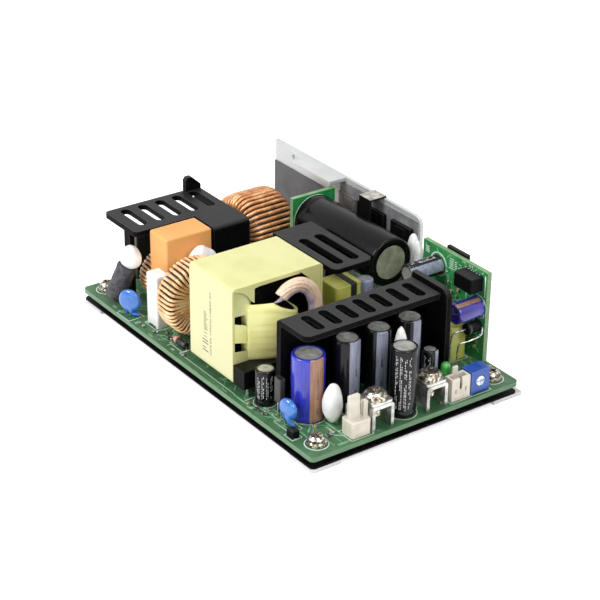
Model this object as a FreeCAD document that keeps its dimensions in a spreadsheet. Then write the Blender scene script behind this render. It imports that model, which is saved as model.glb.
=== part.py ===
import FreeCAD, Part
import Sketcher
import math
import os
import re
from FreeCAD import Placement, Rotation, Vector

# Open frame power supply on a folded aluminium chassis.
# Origin: centre of the four chassis screw holes, on the underside of the chassis.
# +X runs along the board towards the output terminals, +Y towards the chassis wall, +Z up.
# Places on the board are layout coordinates, measured from its output and wall corner.

doc = FreeCAD.newDocument("open_frame_supply")
sizes = doc.addObject("Spreadsheet::Sheet", "sizes")

# Driving dimensions in millimetres, degrees and counts
driving = {
    # Main board, the film below it and the chassis
    "board_length": 127.0,
    "board_width": 76.2,
    "board_thickness": 1.6,
    "board_corner": 1.5,
    "bolt_inset": 5.715,
    "base_thickness": 1.2,
    "base_inset": 4.0,
    "foot_size": 11.0,
    "film_thickness": 0.5,
    "board_gap": 1.9,
    "seat_gap": 0.3,
    "wall_height": 34.4,
    "wall_end": -49.0,
    "wall_corner": 3.0,
    "flange_inset": 18.5,
    "flange_length": 21.0,
    "flange_depth": 6.5,
    "wall_hole_inset": 10.5,
    "wall_hole_drop": 2.9,
    "wall_hole_radius": 0.8,
    # Standoffs and screws
    "standoff_bore": 1.5,
    "standoff_bore_height": 2.0,
    "standoff_thread": 1.25,
    "standoff_shank": 2.1,
    "standoff_radius": 2.8,
    "screw_hole_radius": 1.85,
    "screw_shank": 1.17,
    "screw_reach": 1.4,
    "screw_head_radius": 2.4,
    "screw_head_height": 2.1,
    "screw_washer_radius": 2.9,
    "screw_washer_height": 0.9,
    "recess_width": 0.8,
    "recess_length": 2.9,
    "recess_depth": 1.1,
    # Folded heatsinks
    "plate_thickness": 1.8,
    "slot_radius": 1.6,
    "input_plate_top": 26.0,
    "input_left": -124.5,
    "input_near": -68.6,
    "input_far": -32.7,
    "input_step_x": -105.3,
    "input_step_y": -46.4,
    "input_right": -94.2,
    "input_slot_first_y": -62.8,
    "input_slot_pitch": 6.45,
    "input_slot_count": 5,
    "input_slot_start": -120.9,
    "input_slot_end": -110.6,
    "input_leg_x": -112.3,
    "input_leg_width": 3.4,
    "input_ear_rise": 5.0,
    "input_ear_start": -38.8,
    "input_ear_end": -32.9,
    "output_plate_top": 30.0,
    "output_wall_x": -27.3,
    "output_plate_end": -13.0,
    "output_near": -69.2,
    "output_far": -21.4,
    "output_slot_first_y": -62.4,
    "output_slot_pitch": 6.05,
    "output_slot_count": 7,
    "output_slot_start": -22.5,
    "output_slot_end": -16.3,
    "wing_gap": 1.0,
    "wing_end": -10.9,
    "wing_top": 31.2,
    "wing_corner": 3.0,
    "middle_plate_top": 30.0,
    "middle_start": -74.5,
    "middle_end": -42.3,
    "middle_near": -37.7,
    "middle_far": -22.9,
    "middle_corner": 2.5,
    "middle_wall_end": -59.5,
    "middle_slot_start": -64.0,
    "middle_slot_end": -46.8,
    "middle_slot_near_y": -33.2,
    "middle_slot_pitch": 5.9,
    # Insulation on the chassis wall
    "side_film_end": -96.5,
    "side_film_top": 27.0,
    "side_film_thickness": 0.4,
    "pad_start": -90.0,
    "pad_end": -50.0,
    "pad_low": 5.0,
    "pad_top": 32.8,
    "pad_thickness": 0.3,
    # Power packages in the three-lead outline
    "package_width": 10.0,
    "package_depth": 4.5,
    "package_body": 9.3,
    "package_tab": 6.4,
    "package_tab_thickness": 1.3,
    "package_hole": 1.8,
    "lead_width": 0.8,
    "lead_thickness": 0.5,
    "lead_pitch": 2.54,
    "wall_package_low": 14.0,
    "wall_package_first_x": -84.1,
    "wall_package_pitch": 13.6,
    "sink_package_low": 5.0,
    "input_package_y": -40.9,
    "middle_package_x": -67.5,
    "output_package_first_y": -52.1,
    "output_package_pitch": 15.0,
    "clip_width": 5.8,
    "clip_thickness": 0.6,
    "clip_reach": 7.0,
    "bridge_width": 14.5,
    "bridge_depth": 3.4,
    "bridge_height": 10.5,
    "bridge_low": 4.0,
    "bridge_x": -114.0,
    # Main transformer
    "transformer_x": -65.7,
    "transformer_y": -73.8,
    "transformer_length": 22.8,
    "transformer_width": 32.2,
    "transformer_height": 33.4,
    "wrap_low": 2.6,
    "wrap_thickness": 0.8,
    "wrap_corner": 1.2,
    "core_recess": 3.4,
    "core_gap": 0.1,
    "core_yoke": 4.5,
    "core_limb": 4.6,
    "core_centre": 9.0,
    "bobbin_wall": 0.9,
    "rail_width": 5.6,
    "rail_height": 6.0,
    "rail_low": 3.0,
    "rail_inset": 0.2,
    "input_rail_inset": 4.6,
    "pin_radius": 0.4,
    "pin_count": 5,
    "winding_recess": 0.7,
    "swelling_reach": 4.3,
    "swelling_shift": -1.6,
    "swelling_root_half": 8.9,
    "swelling_front_half": 4.6,
    "swelling_rounding": 3.5,
    "swelling_top_rounding": 1.2,
    "lead_radius": 2.0,
    "lead_x": -40.5,
    "lead_near_y": -58.2,
    "lead_far_y": -45.9,
    "lead_top_z": 30.2,
    "lead_bend": 6.0,
    # Chokes with toroid cores
    "winding_clearance": 0.05,
    "pfc_x": -107.7,
    "pfc_y": -21.2,
    "pfc_core_inner": 6.0,
    "pfc_core_outer": 12.3,
    "pfc_core_width": 16.6,
    "pfc_wire": 1.15,
    "pfc_turns": 36,
    "front_choke_x": -80.5,
    "front_choke_y": -62.3,
    "front_core_inner": 5.0,
    "front_core_outer": 11.5,
    "front_core_width": 6.8,
    "front_wire": 0.95,
    "front_turns": 28,
    "rear_choke_x": -106.8,
    "rear_choke_y": -57.6,
    "rear_core_inner": 3.2,
    "rear_core_outer": 7.4,
    "rear_core_width": 3.7,
    "rear_wire": 0.75,
    "rear_turns": 22,
    "choke_lift": 0.3,
    # Box and disc capacitors, fuse
    "orange_x": -103.0,
    "orange_y": -64.9,
    "orange_length": 10.2,
    "orange_width": 16.8,
    "orange_height": 27.1,
    "white_x": -94.5,
    "white_y": -71.7,
    "white_length": 6.4,
    "white_width": 4.9,
    "white_height": 18.0,
    "box_corner": 0.7,
    "box_foot": 0.6,
    "disc_radius": 3.3,
    "disc_thickness": 2.6,
    "disc_edge": 0.9,
    "disc_wire": 0.3,
    "disc_pitch": 2.6,
    "disc_lift": 2.0,
    "left_disc_x": -101.9,
    "left_disc_y": -73.3,
    "front_disc_x": -18.5,
    "front_disc_y": -71.2,
    "left_disc_turn": 30.0,
    "front_disc_turn": 10.0,
    "fuse_radius": 3.2,
    "fuse_length": 13.2,
    "fuse_x": -113.7,
    "fuse_y": -72.0,
    "fuse_tilt": 13.0,
    "fuse_rim": 0.6,
    # Can capacitors
    "can_rim": 0.5,
    "can_groove": 0.35,
    "can_groove_height": 2.2,
    "bulk_radius": 8.0,
    "bulk_end": -46.5,
    "bulk_y": -12.9,
    "bulk_z": 24.0,
    "bulk_groove": 3.4,
    "riser_board_x": -88.3,
    "riser_board_y": -21.2,
    "riser_board_width": 16.6,
    "riser_board_height": 32.4,
    "blue_can_radius": 5.0,
    "blue_can_height": 20.6,
    "blue_can_x": -19.7,
    "blue_can_y": -63.5,
    "output_can_radius": 4.0,
    "output_can_height": 23.0,
    "output_can_x": -17.5,
    "output_can_first_y": -51.5,
    "output_can_pitch": 11.35,
    "output_can_count": 3,
    "corner_can_radius": 4.0,
    "corner_can_height": 22.0,
    "corner_can_x": -5.7,
    "corner_can_y": -40.0,
    "small_can_radius": 3.1,
    "small_can_height": 11.5,
    "small_can_x": -32.7,
    "small_can_y": -69.3,
    "side_can_radius": 2.5,
    "side_can_height": 13.6,
    "side_can_x": -11.7,
    "side_can_y": -25.3,
    "grey_can_radius": 2.5,
    "grey_can_height": 22.0,
    "grey_can_x": -45.9,
    "grey_can_y": -23.2,
    # Silicone beads between tall parts
    "choke_bead_x": -88.8,
    "choke_bead_y": -54.5,
    "choke_bead_z": 16.5,
    "choke_bead_long": 3.9,
    "choke_bead_wide": 6.0,
    "choke_bead_tall": 8.0,
    "fuse_bead_x": -109.88,
    "fuse_bead_y": -72.0,
    "fuse_bead_z": 17.3,
    "fuse_bead_long": 3.7,
    "fuse_bead_wide": 3.2,
    "fuse_bead_tall": 3.6,
    "can_bead_x": -12.5,
    "can_bead_y": -60.0,
    "can_bead_long": 2.6,
    "can_bead_wide": 3.3,
    "can_bead_tall": 6.6,
    "peak_bead_x": -11.45,
    "peak_bead_y": -36.7,
    "peak_bead_z": 16.6,
    "peak_bead_long": 1.8,
    "peak_bead_wide": 2.2,
    "peak_bead_tall": 8.4,
    "wall_bead_y": -1.9,
    "wall_bead_z": 20.0,
    "wall_bead_tall": 8.5,
    # Control board and its parts
    "control_x": -44.7,
    "control_length": 30.0,
    "control_height": 30.0,
    "control_y": -1.7,
    "control_can_radius": 3.15,
    "control_can_length": 12.6,
    "control_can_x": -37.2,
    "control_can_z": 24.2,
    "timing_can_radius": 3.4,
    "timing_can_length": 9.6,
    "timing_can_x": -18.3,
    "timing_can_z": 17.8,
    "chip_x": -20.5,
    "chip_z": 26.0,
    "chip_length": 8.2,
    "chip_depth": 4.8,
    "chip_height": 5.0,
    "rear_chip_x": -30.9,
    "rear_chip_z": 27.6,
    "rear_chip_length": 9.6,
    "rear_chip_depth": 1.4,
    "rear_chip_height": 6.6,
    "chip_chamfer": 0.5,
    "diode_radius": 1.8,
    "diode_length": 5.6,
    "diode_x": -17.0,
    "diode_z": 12.1,
    "diode_wire": 0.4,
    "gate_x": -23.6,
    "gate_y": -6.8,
    "gate_length": 6.6,
    "gate_width": 6.6,
    "gate_height": 11.5,
    "auxiliary_x": -48.1,
    "auxiliary_y": -30.9,
    "auxiliary_length": 9.0,
    "auxiliary_width": 9.8,
    "auxiliary_height": 22.6,
    "coupler_x": -34.3,
    "coupler_y": -61.7,
    "coupler_length": 4.6,
    "coupler_width": 6.5,
    "coupler_height": 3.6,
    "snubber_x": -78.6,
    "snubber_y": -71.3,
    "snubber_radius": 1.25,
    "snubber_length": 6.6,
    "film_box_x": -25.3,
    "film_box_y": -71.4,
    "film_box_length": 3.0,
    "film_box_width": 1.9,
    "film_box_low": 5.0,
    "film_box_top": 12.7,
    "corner_diode_x": -12.7,
    "corner_diode_y": -73.6,
    "corner_diode_length": 3.0,
    "corner_diode_width": 2.4,
    "corner_diode_height": 2.7,
    # Output edge
    "edge_setback": 1.4,
    "terminal_width": 7.8,
    "terminal_depth": 7.8,
    "terminal_height": 7.8,
    "terminal_metal": 1.1,
    "terminal_front_y": -50.2,
    "terminal_rear_y": -30.4,
    "terminal_hole": 1.85,
    "terminal_shank": 1.7,
    "terminal_shank_length": 5.6,
    "terminal_head_radius": 3.5,
    "terminal_head_height": 2.5,
    "square_washer": 7.4,
    "square_washer_height": 0.9,
    "output_header_y": -57.75,
    "output_header_width": 6.8,
    "output_header_depth": 5.6,
    "output_header_height": 5.0,
    "latch_thickness": 1.3,
    "latch_width": 3.6,
    "latch_height": 13.2,
    "latch_small_width": 1.5,
    "latch_small_height": 10.4,
    "header_pin": 1.0,
    "header_pin_height": 9.4,
    "header_pitch": 3.5,
    "sense_header_y": -21.5,
    "sense_header_width": 6.9,
    "sense_header_depth": 3.6,
    "sense_header_height": 7.4,
    "sense_wall": 0.8,
    "sense_floor": 2.0,
    "sense_pin": 0.64,
    "sense_pitch": 2.5,
    "sense_slot": 0.9,
    "sense_slot_low": 3.4,
    "sense_window": 0.4,
    "sense_window_low": 2.2,
    "sense_window_high": 3.9,
    "sense_window_pitch": 3.8,
    "sense_tab_width": 1.8,
    "sense_tab_top": 9.8,
    "input_header_x": -125.6,
    "input_header_y": -44.9,
    "input_header_width": 9.6,
    "input_header_height": 4.6,
    "input_header_depth": 6.4,
    "trimmer_y": -14.1,
    "trimmer_width": 7.0,
    "trimmer_depth": 4.8,
    "trimmer_height": 7.6,
    "trimmer_foot": 0.4,
    "rotor_z": 4.0,
    "rotor_radius": 1.6,
    "rotor_thickness": 0.9,
    "rotor_head_gap": 0.2,
    "rotor_shaft": 0.8,
    "rotor_shaft_length": 2.0,
    "rotor_gap": 0.05,
    "rotor_slot_width": 0.5,
    "rotor_slot_depth": 0.45,
    "led_radius": 1.5,
    "led_flange": 1.65,
    "led_flange_height": 0.9,
    "led_lift": 3.6,
    "led_top": 9.1,
    "led_x": -9.1,
    "led_y": -21.3,
    "led_wire": 0.3,
}

for row, (alias, size) in enumerate(driving.items(), start=1):
    sizes.set("A%d" % row, alias)
    sizes.set("B%d" % row, str(size))
    sizes.setAlias("B%d" % row, alias)
doc.recompute()

# Levels and faces that follow from the driving dimensions
derived = {
    "bolt_spacing_x": "board_length - 2 * bolt_inset",
    "bolt_spacing_y": "board_width - 2 * bolt_inset",
    "board_low": "base_thickness + film_thickness + board_gap",
    "board_top": "board_low + board_thickness",
    "wall_inner": "board_width / 2 + seat_gap",
    "wall_outer": "wall_inner + base_thickness",
    "wall_top": "board_top + wall_height",
    "wall_start": "-board_length / 2",
    "wall_finish": "board_length / 2 + wall_end",
    "flange_start": "wall_start + flange_inset",
    "pad_face": "seat_gap - pad_thickness",
    "output_edge": "-1 * edge_setback",
    "wing_start": "output_far + wing_gap",
    "transformer_centre_x": "transformer_x + transformer_length / 2",
    "transformer_centre_y": "transformer_y + transformer_width / 2",
    "core_low": "wrap_low + wrap_thickness + core_gap",
    "core_height": "transformer_height - wrap_thickness - core_gap - core_low",
    "core_width": "transformer_width - 2 * wrap_thickness - 2 * core_gap",
    "core_depth": "transformer_length - 2 * core_recess",
    "window_low": "core_low + core_yoke",
    "window_high": "core_low + core_height - core_yoke",
    "window_reach": "core_width / 2 - core_limb",
    "riser_board_face": "riser_board_x + board_thickness",
    "bulk_length": "bulk_end - riser_board_face - seat_gap",
}


def formula(text):
    """Turn plain size names into references to the sheet."""
    def reference(match):
        name = match.group(0)
        if name in derived:
            return "(" + formula(derived[name]) + ")"
        if name in driving:
            return "sizes." + name
        return name
    return re.sub(r"[A-Za-z_]\w*", reference, str(text))


def number(text):
    """The value of a formula in millimetres, degrees or counts."""
    return float(sizes.evalExpression(formula(text)))


def bind(item, target, text):
    """Bind one property of an object to a formula."""
    item.setExpression(target, formula(text))


def place(piece, x=0, y=0, z=0, rotation=None):
    """Put a piece where three formulas say, turned by a fixed rotation."""
    if rotation is not None:
        piece.Placement = Placement(Vector(), rotation)
    for axis, text in (("x", x), ("y", y), ("z", z)):
        bind(piece, "Placement.Base." + axis, text)


def mount(piece, x=0, y=0, z=0, rotation=None):
    """Put a piece on the board: x and y from its output and wall corner, z from its top face."""
    place(piece, "board_length / 2 + (%s)" % x, "board_width / 2 + (%s)" % y, "board_top + (%s)" % z,
          rotation)


def new_body(label):
    piece = doc.addObject("PartDesign::Body", label)
    piece.Label = label
    return piece


def origin_feature(piece, role):
    return next(item for item in piece.Origin.OriginFeatures if item.Role == role)


def new_sketch(piece, name, plane, start):
    """A sketch on an origin plane, moved to start along +Z, +X or +Y."""
    drawing = piece.newObject("Sketcher::SketchObject", piece.Name + "_" + name)
    drawing.AttachmentSupport = [(origin_feature(piece, plane + "_Plane"), "")]
    drawing.MapMode = "FlatFace"
    sign = "-1 * " if plane == "XZ" else ""
    bind(drawing, "AttachmentOffset.Base.z", sign + "(" + str(start) + ")")
    return drawing


def hold(drawing, kind, geometry, point, text):
    """Fix one coordinate of a point in a sketch to a formula."""
    rule = Sketcher.Constraint(kind, -1, 1, geometry, point, number(text))
    bind(drawing, "Constraints[%d]" % drawing.addConstraint(rule), text)


def polygon(corners):
    """A closed outline through corners given as formulas."""
    def draw(drawing):
        first = drawing.GeometryCount
        points = [Vector(number(x), number(y), 0) for x, y in corners]
        count = len(points)
        for index, start in enumerate(points):
            line = Part.LineSegment(start, points[(index + 1) % count])
            drawing.addGeometry(line, False)
        for index in range(count):
            follower = first + (index + 1) % count
            drawing.addConstraint(Sketcher.Constraint("Coincident", first + index, 2, follower, 1))
        for index, (x, y) in enumerate(corners):
            hold(drawing, "DistanceX", first + index, 1, x)
            hold(drawing, "DistanceY", first + index, 1, y)
    return draw


def rectangle(x_low, y_low, x_high, y_high):
    return polygon([(x_low, y_low), (x_high, y_low), (x_high, y_high), (x_low, y_high)])


def circle(x, y, radius):
    """A circle with its centre and radius given as formulas."""
    def draw(drawing):
        centre = Vector(number(x), number(y), 0)
        index = drawing.addGeometry(Part.Circle(centre, Vector(0, 0, 1), number(radius)), False)
        hold(drawing, "DistanceX", index, 3, x)
        hold(drawing, "DistanceY", index, 3, y)
        rule = Sketcher.Constraint("Radius", index, number(radius))
        bind(drawing, "Constraints[%d]" % drawing.addConstraint(rule), radius)
    return draw


def slot(x_start, x_end, y, radius):
    """A round-ended slot along X between two end centres."""
    def draw(drawing):
        up = Vector(0, 0, 1)
        left = Vector(number(x_start), number(y), 0)
        right = Vector(number(x_end), number(y), 0)
        rise = Vector(0, number(radius), 0)
        first = drawing.GeometryCount
        quarter = math.pi / 2
        left_arc = Part.ArcOfCircle(Part.Circle(left, up, rise.y), quarter, 3 * quarter)
        right_arc = Part.ArcOfCircle(Part.Circle(right, up, rise.y), -quarter, quarter)
        drawing.addGeometry(left_arc, False)
        drawing.addGeometry(Part.LineSegment(left - rise, right - rise), False)
        drawing.addGeometry(right_arc, False)
        drawing.addGeometry(Part.LineSegment(right + rise, left + rise), False)
        for index in range(4):
            rule = Sketcher.Constraint("Tangent", first + index, 2, first + (index + 1) % 4, 1)
            drawing.addConstraint(rule)
        for index, x in ((first, x_start), (first + 2, x_end)):
            hold(drawing, "DistanceX", index, 3, x)
        hold(drawing, "DistanceY", first, 3, y)
        drawing.addConstraint(Sketcher.Constraint("Horizontal", first + 1))
        rule = Sketcher.Constraint("Radius", first, number(radius))
        bind(drawing, "Constraints[%d]" % drawing.addConstraint(rule), radius)
    return draw


def extrude(piece, name, plane, start, length, outlines, remove=False):
    """Add or remove a prism that runs from start by length along +Z, +X or +Y."""
    drawing = new_sketch(piece, name + "_outline", plane, start)
    for outline in outlines:
        outline(drawing)
    kind = "PartDesign::Pocket" if remove else "PartDesign::Pad"
    feature = piece.newObject(kind, piece.Name + "_" + name)
    feature.Profile = drawing
    bind(feature, "Length", length)
    feature.Reversed = (plane == "XZ") != remove
    doc.recompute()
    return feature


def block(piece, name, x, y, z, length, width, height):
    """A rectangular pad with its low corner at x, y, z."""
    far_x = "(%s) + (%s)" % (x, length)
    far_y = "(%s) + (%s)" % (y, width)
    return extrude(piece, name, "XY", z, height, [rectangle(x, y, far_x, far_y)])


def turn(piece, name, corners, remove=False):
    """Turn an outline of radius and height about the piece's own Z axis."""
    drawing = new_sketch(piece, name + "_outline", "XZ", 0)
    polygon(corners)(drawing)
    kind = "PartDesign::Groove" if remove else "PartDesign::Revolution"
    feature = piece.newObject(kind, piece.Name + "_" + name)
    feature.Profile = drawing
    feature.ReferenceAxis = (origin_feature(piece, "Z_Axis"), [""])
    feature.Angle = 360
    doc.recompute()
    return feature


def edges_where(feature, test):
    """Names of the straight edges whose middle and direction pass a test."""
    names = []
    for index, edge in enumerate(feature.Shape.Edges, start=1):
        if len(edge.Vertexes) == 2 and isinstance(edge.Curve, (Part.Line, Part.LineSegment)):
            start, end = edge.Vertexes[0].Point, edge.Vertexes[1].Point
            if test((start + end) / 2, (end - start).normalize()):
                names.append("Edge%d" % index)
    return names


def dress(piece, base, name, size, test, round_off=True):
    """Round or bevel the edges of a feature that pass a test."""
    kind = "PartDesign::Fillet" if round_off else "PartDesign::Chamfer"
    feature = piece.newObject(kind, piece.Name + "_" + name)
    feature.Base = (base, edges_where(base, test))
    bind(feature, "Radius" if round_off else "Size", size)
    doc.recompute()
    return feature


def near(value, text, reach=0.01):
    return abs(value - number(text)) < reach


def upright(direction):
    return abs(direction.z) > 0.99


def bundle(label, members):
    """One sub-part made of separate solids."""
    piece = doc.addObject("Part::Compound", label)
    piece.Label = label
    piece.Links = members
    return piece


def group(label, template, spots, put=mount):
    """Separate copies of one template, each put at its x, y, z and rotation."""
    copies = []
    for index, spot in enumerate(spots):
        copy = doc.addObject("App::Link", "%s_%d" % (label, index))
        copy.LinkedObject = template
        put(copy, *spot)
        copies.append(copy)
    return bundle(label, copies)


def solid_box(name, x, y, z, length, width, height):
    """A plain box on the board with its low corner at x, y, z."""
    box = doc.addObject("Part::Box", name)
    for side, text in (("Length", length), ("Width", width), ("Height", height)):
        bind(box, side, text)
    mount(box, x, y, z)
    return box


def corner_signs():
    return [(side_x, side_y) for side_x in (-1, 1) for side_y in (-1, 1)]


def bolt_places(z):
    return [("%d * bolt_spacing_x / 2" % side_x, "%d * bolt_spacing_y / 2" % side_y, z)
            for side_x, side_y in corner_signs()]


# Chassis: one folded sheet with a base, four corner feet, a side wall and a short top flange
def make_chassis():
    piece = new_body("chassis")
    left = "wall_start"
    right = "board_length / 2"
    near_side = "-board_width / 2"
    base = extrude(piece, "base", "XY", 0, "base_thickness", [rectangle(
        left + " + base_inset", near_side + " + base_inset", right + " - base_inset", "wall_outer")])
    for index, (side_x, side_y) in enumerate(corner_signs()):
        outer_x = "%d * board_length / 2" % side_x
        inner_x = "%s - %d * foot_size" % (outer_x, side_x)
        outer_y = "wall_outer" if side_y > 0 else near_side
        inner_y = "%s - %d * foot_size" % (outer_y, side_y)
        low_x, high_x = (inner_x, outer_x) if side_x > 0 else (outer_x, inner_x)
        low_y, high_y = (inner_y, outer_y) if side_y > 0 else (outer_y, inner_y)
        base = extrude(piece, "foot_%d" % index, "XY", 0, "base_thickness",
                       [rectangle(low_x, low_y, high_x, high_y)])
    extrude(piece, "wall", "XY", 0, "wall_top", [rectangle(
        left, "wall_inner", "wall_finish", "wall_outer")])
    wall = extrude(piece, "flange", "XY", "wall_top - base_thickness", "base_thickness", [rectangle(
        "flange_start", "wall_inner - flange_depth", "flange_start + flange_length", "wall_outer")])
    wall = dress(piece, wall, "wall_rounding", "wall_corner", lambda middle, direction:
                 abs(direction.y) > 0.99 and near(middle.z, "wall_top") and near(middle.x, "wall_finish"))
    wall = dress(piece, wall, "foot_rounding", "board_corner", lambda middle, direction:
                 upright(direction) and near(abs(middle.x), right) and middle.z < number("base_thickness")
                 and middle.y < 0)
    holes = [circle(x, y, "standoff_shank") for x, y, _ in bolt_places(0)]
    extrude(piece, "standoff_holes", "XY", 0, "base_thickness", holes, remove=True)
    extrude(piece, "wall_hole", "XZ", "wall_inner", "base_thickness",
            [circle("wall_start + wall_hole_inset", "wall_top - wall_hole_drop", "wall_hole_radius")], remove=True)


# Film between the chassis and the solder side of the board
def make_insulation_sheet():
    piece = new_body("insulation_sheet")
    half_x = "(board_length / 2 - seat_gap / 2)"
    half_y = "(board_width / 2 - seat_gap / 2)"
    film = extrude(piece, "film", "XY", 0, "film_thickness",
                   [rectangle("-1 * " + half_x, "-1 * " + half_y, half_x, half_y)])
    dress(piece, film, "corners", "board_corner", lambda middle, direction: upright(direction))
    holes = [circle(x, y, "standoff_radius + seat_gap") for x, y, _ in bolt_places(0)]
    extrude(piece, "holes", "XY", 0, "film_thickness", holes, remove=True)
    place(piece, z="base_thickness")


# Threaded standoffs pressed into the chassis
def make_standoffs():
    piece = new_body("standoff")
    turn(piece, "profile", [
        ("standoff_bore", 0), ("standoff_shank", 0), ("standoff_shank", "base_thickness"),
        ("standoff_radius", "base_thickness"), ("standoff_radius", "board_low"),
        ("standoff_thread", "board_low"), ("standoff_thread", "standoff_bore_height"),
        ("standoff_bore", "standoff_bore_height")])
    group("standoffs", piece, bolt_places(0), put=place)


# Cross-recessed pan head screws with captive washers
def make_board_screws():
    piece = new_body("board_screw")
    turn(piece, "profile", [
        (0, "-1 * (board_thickness + screw_reach)"), ("screw_shank", "-1 * (board_thickness + screw_reach)"),
        ("screw_shank", 0), ("screw_washer_radius", 0), ("screw_washer_radius", "screw_washer_height"),
        ("screw_head_radius", "screw_washer_height"),
        ("screw_head_radius", "screw_washer_height + screw_head_height * 0.55"),
        ("screw_head_radius * 0.72", "screw_washer_height + screw_head_height * 0.9"),
        (0, "screw_washer_height + screw_head_height")])
    cross_recess(piece, "screw_washer_height + screw_head_height")
    group("board_screws", piece, bolt_places("board_top"), put=place)


def cross_recess(piece, top):
    """Two crossed slots cut down from the top of a screw head."""
    half_width = "recess_width / 2"
    half_length = "recess_length / 2"
    for name, reach_x, reach_y in (("recess_x", half_length, half_width), ("recess_y", half_width, half_length)):
        extrude(piece, name, "XY", "%s - recess_depth" % top, "recess_depth",
                [rectangle("-1 * " + reach_x, "-1 * " + reach_y, reach_x, reach_y)], remove=True)


def make_main_board():
    piece = new_body("main_board")
    board = extrude(piece, "laminate", "XY", 0, "board_thickness", [rectangle(
        "-board_length / 2", "-board_width / 2", "board_length / 2", "board_width / 2")])
    dress(piece, board, "corners", "board_corner", lambda middle, direction: upright(direction))
    holes = [circle(x, y, "screw_hole_radius") for x, y, _ in bolt_places(0)]
    extrude(piece, "screw_holes", "XY", 0, "board_thickness", holes, remove=True)
    place(piece, z="board_low")


# Input heatsink: an L-shaped slotted plate folded down to two walls and a leg, with an ear above it
def make_input_heatsink():
    piece = new_body("input_heatsink")
    plate_low = "input_plate_top - plate_thickness"
    plate = extrude(piece, "plate", "XY", plate_low, "plate_thickness", [polygon([
        ("input_left", "input_near"), ("input_step_x", "input_near"), ("input_step_x", "input_step_y"),
        ("input_right", "input_step_y"), ("input_right", "input_far"), ("input_left", "input_far")])])
    dress(piece, plate, "corners", "wall_corner / 2", lambda middle, direction: upright(direction)
          and near(middle.y, "input_near"))
    block(piece, "side_wall", "input_right - plate_thickness", "input_step_y", 0,
          "plate_thickness", "input_far - input_step_y", "input_plate_top - plate_thickness / 2")
    block(piece, "rear_wall", "input_left", "input_far - plate_thickness", 0,
          "input_right - input_left", "plate_thickness", "input_plate_top - plate_thickness / 2")
    block(piece, "leg", "input_leg_x", "input_near", 0, "input_leg_width", "plate_thickness",
          "input_plate_top - plate_thickness / 2")
    extrude(piece, "ear", "YZ", "input_left", "plate_thickness", [polygon([
        ("input_ear_start", plate_low), ("input_ear_end", plate_low),
        ("input_ear_end", "input_plate_top + input_ear_rise * 0.35"),
        ("input_ear_start + 2.4", "input_plate_top + input_ear_rise"),
        ("input_ear_start + 0.8", "input_plate_top + input_ear_rise"),
        ("input_ear_start", "input_plate_top + input_ear_rise * 0.8")])])
    slots = [slot("input_slot_start", "input_slot_end", "input_slot_first_y + %d * input_slot_pitch" % index,
                  "slot_radius") for index in range(int(driving["input_slot_count"]))]
    sheet = extrude(piece, "slots", "XY", plate_low, "plate_thickness", slots, remove=True)
    dress(piece, sheet, "fold", "plate_thickness * 0.7", lambda middle, direction: abs(direction.y) > 0.99
          and near(middle.x, "input_right") and near(middle.z, "input_plate_top"))
    mount(piece)


# Output heatsink: a tall wall folded over at the top, with seven slots and a folded wing
def make_output_heatsink():
    piece = new_body("output_heatsink")
    plate_low = "output_plate_top - plate_thickness"
    wing_far = "wing_start + plate_thickness"
    block(piece, "wall", "output_wall_x", "output_near", 0, "plate_thickness",
          wing_far + " - output_near", "output_plate_top - plate_thickness / 2")
    plate = extrude(piece, "plate", "XY", plate_low, "plate_thickness", [rectangle(
        "output_wall_x", "output_near", "output_plate_end", "output_far")])
    plate = dress(piece, plate, "fold", "plate_thickness", lambda middle, direction:
                  abs(direction.y) > 0.99 and near(middle.x, "output_wall_x")
                  and near(middle.z, "output_plate_top"))
    wing = extrude(piece, "wing", "XZ", "wing_start", "plate_thickness", [rectangle(
        "output_wall_x", 0, "wing_end", "wing_top")])
    dress(piece, wing, "wing_rounding", "wing_corner", lambda middle, direction:
          abs(direction.y) > 0.99 and near(middle.x, "wing_end") and near(middle.z, "wing_top"))
    slots = [slot("output_slot_start", "output_slot_end", "output_slot_first_y + %d * output_slot_pitch" % index,
                  "slot_radius") for index in range(int(driving["output_slot_count"]))]
    extrude(piece, "slots", "XY", plate_low, "plate_thickness", slots, remove=True)
    mount(piece)


# Middle heatsink: a slotted plate carried by one folded wall
def make_middle_heatsink():
    piece = new_body("middle_heatsink")
    plate_low = "middle_plate_top - plate_thickness"
    plate = extrude(piece, "plate", "XY", plate_low, "plate_thickness", [rectangle(
        "middle_start", "middle_near", "middle_end", "middle_far")])
    dress(piece, plate, "corners", "middle_corner", lambda middle, direction:
          upright(direction) and near(middle.x, "middle_end"))
    block(piece, "wall", "middle_start", "middle_far - plate_thickness", 0,
          "middle_wall_end - middle_start", "plate_thickness", "middle_plate_top - plate_thickness / 2")
    slots = [slot("middle_slot_start", "middle_slot_end", "middle_slot_near_y + %d * middle_slot_pitch" % index,
                  "slot_radius") for index in range(2)]
    extrude(piece, "slots", "XY", plate_low, "plate_thickness", slots, remove=True)
    mount(piece)


def make_wall_insulation():
    film = new_body("side_film")
    block(film, "film", "-1 * board_length", "seat_gap - side_film_thickness", "seat_gap",
          "side_film_end + board_length", "side_film_thickness", "side_film_top - seat_gap")
    mount(film)
    pad = new_body("thermal_pad")
    block(pad, "pad", "pad_start", "pad_face", "pad_low", "pad_end - pad_start", "pad_thickness",
          "pad_top - pad_low")
    mount(pad)


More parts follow.
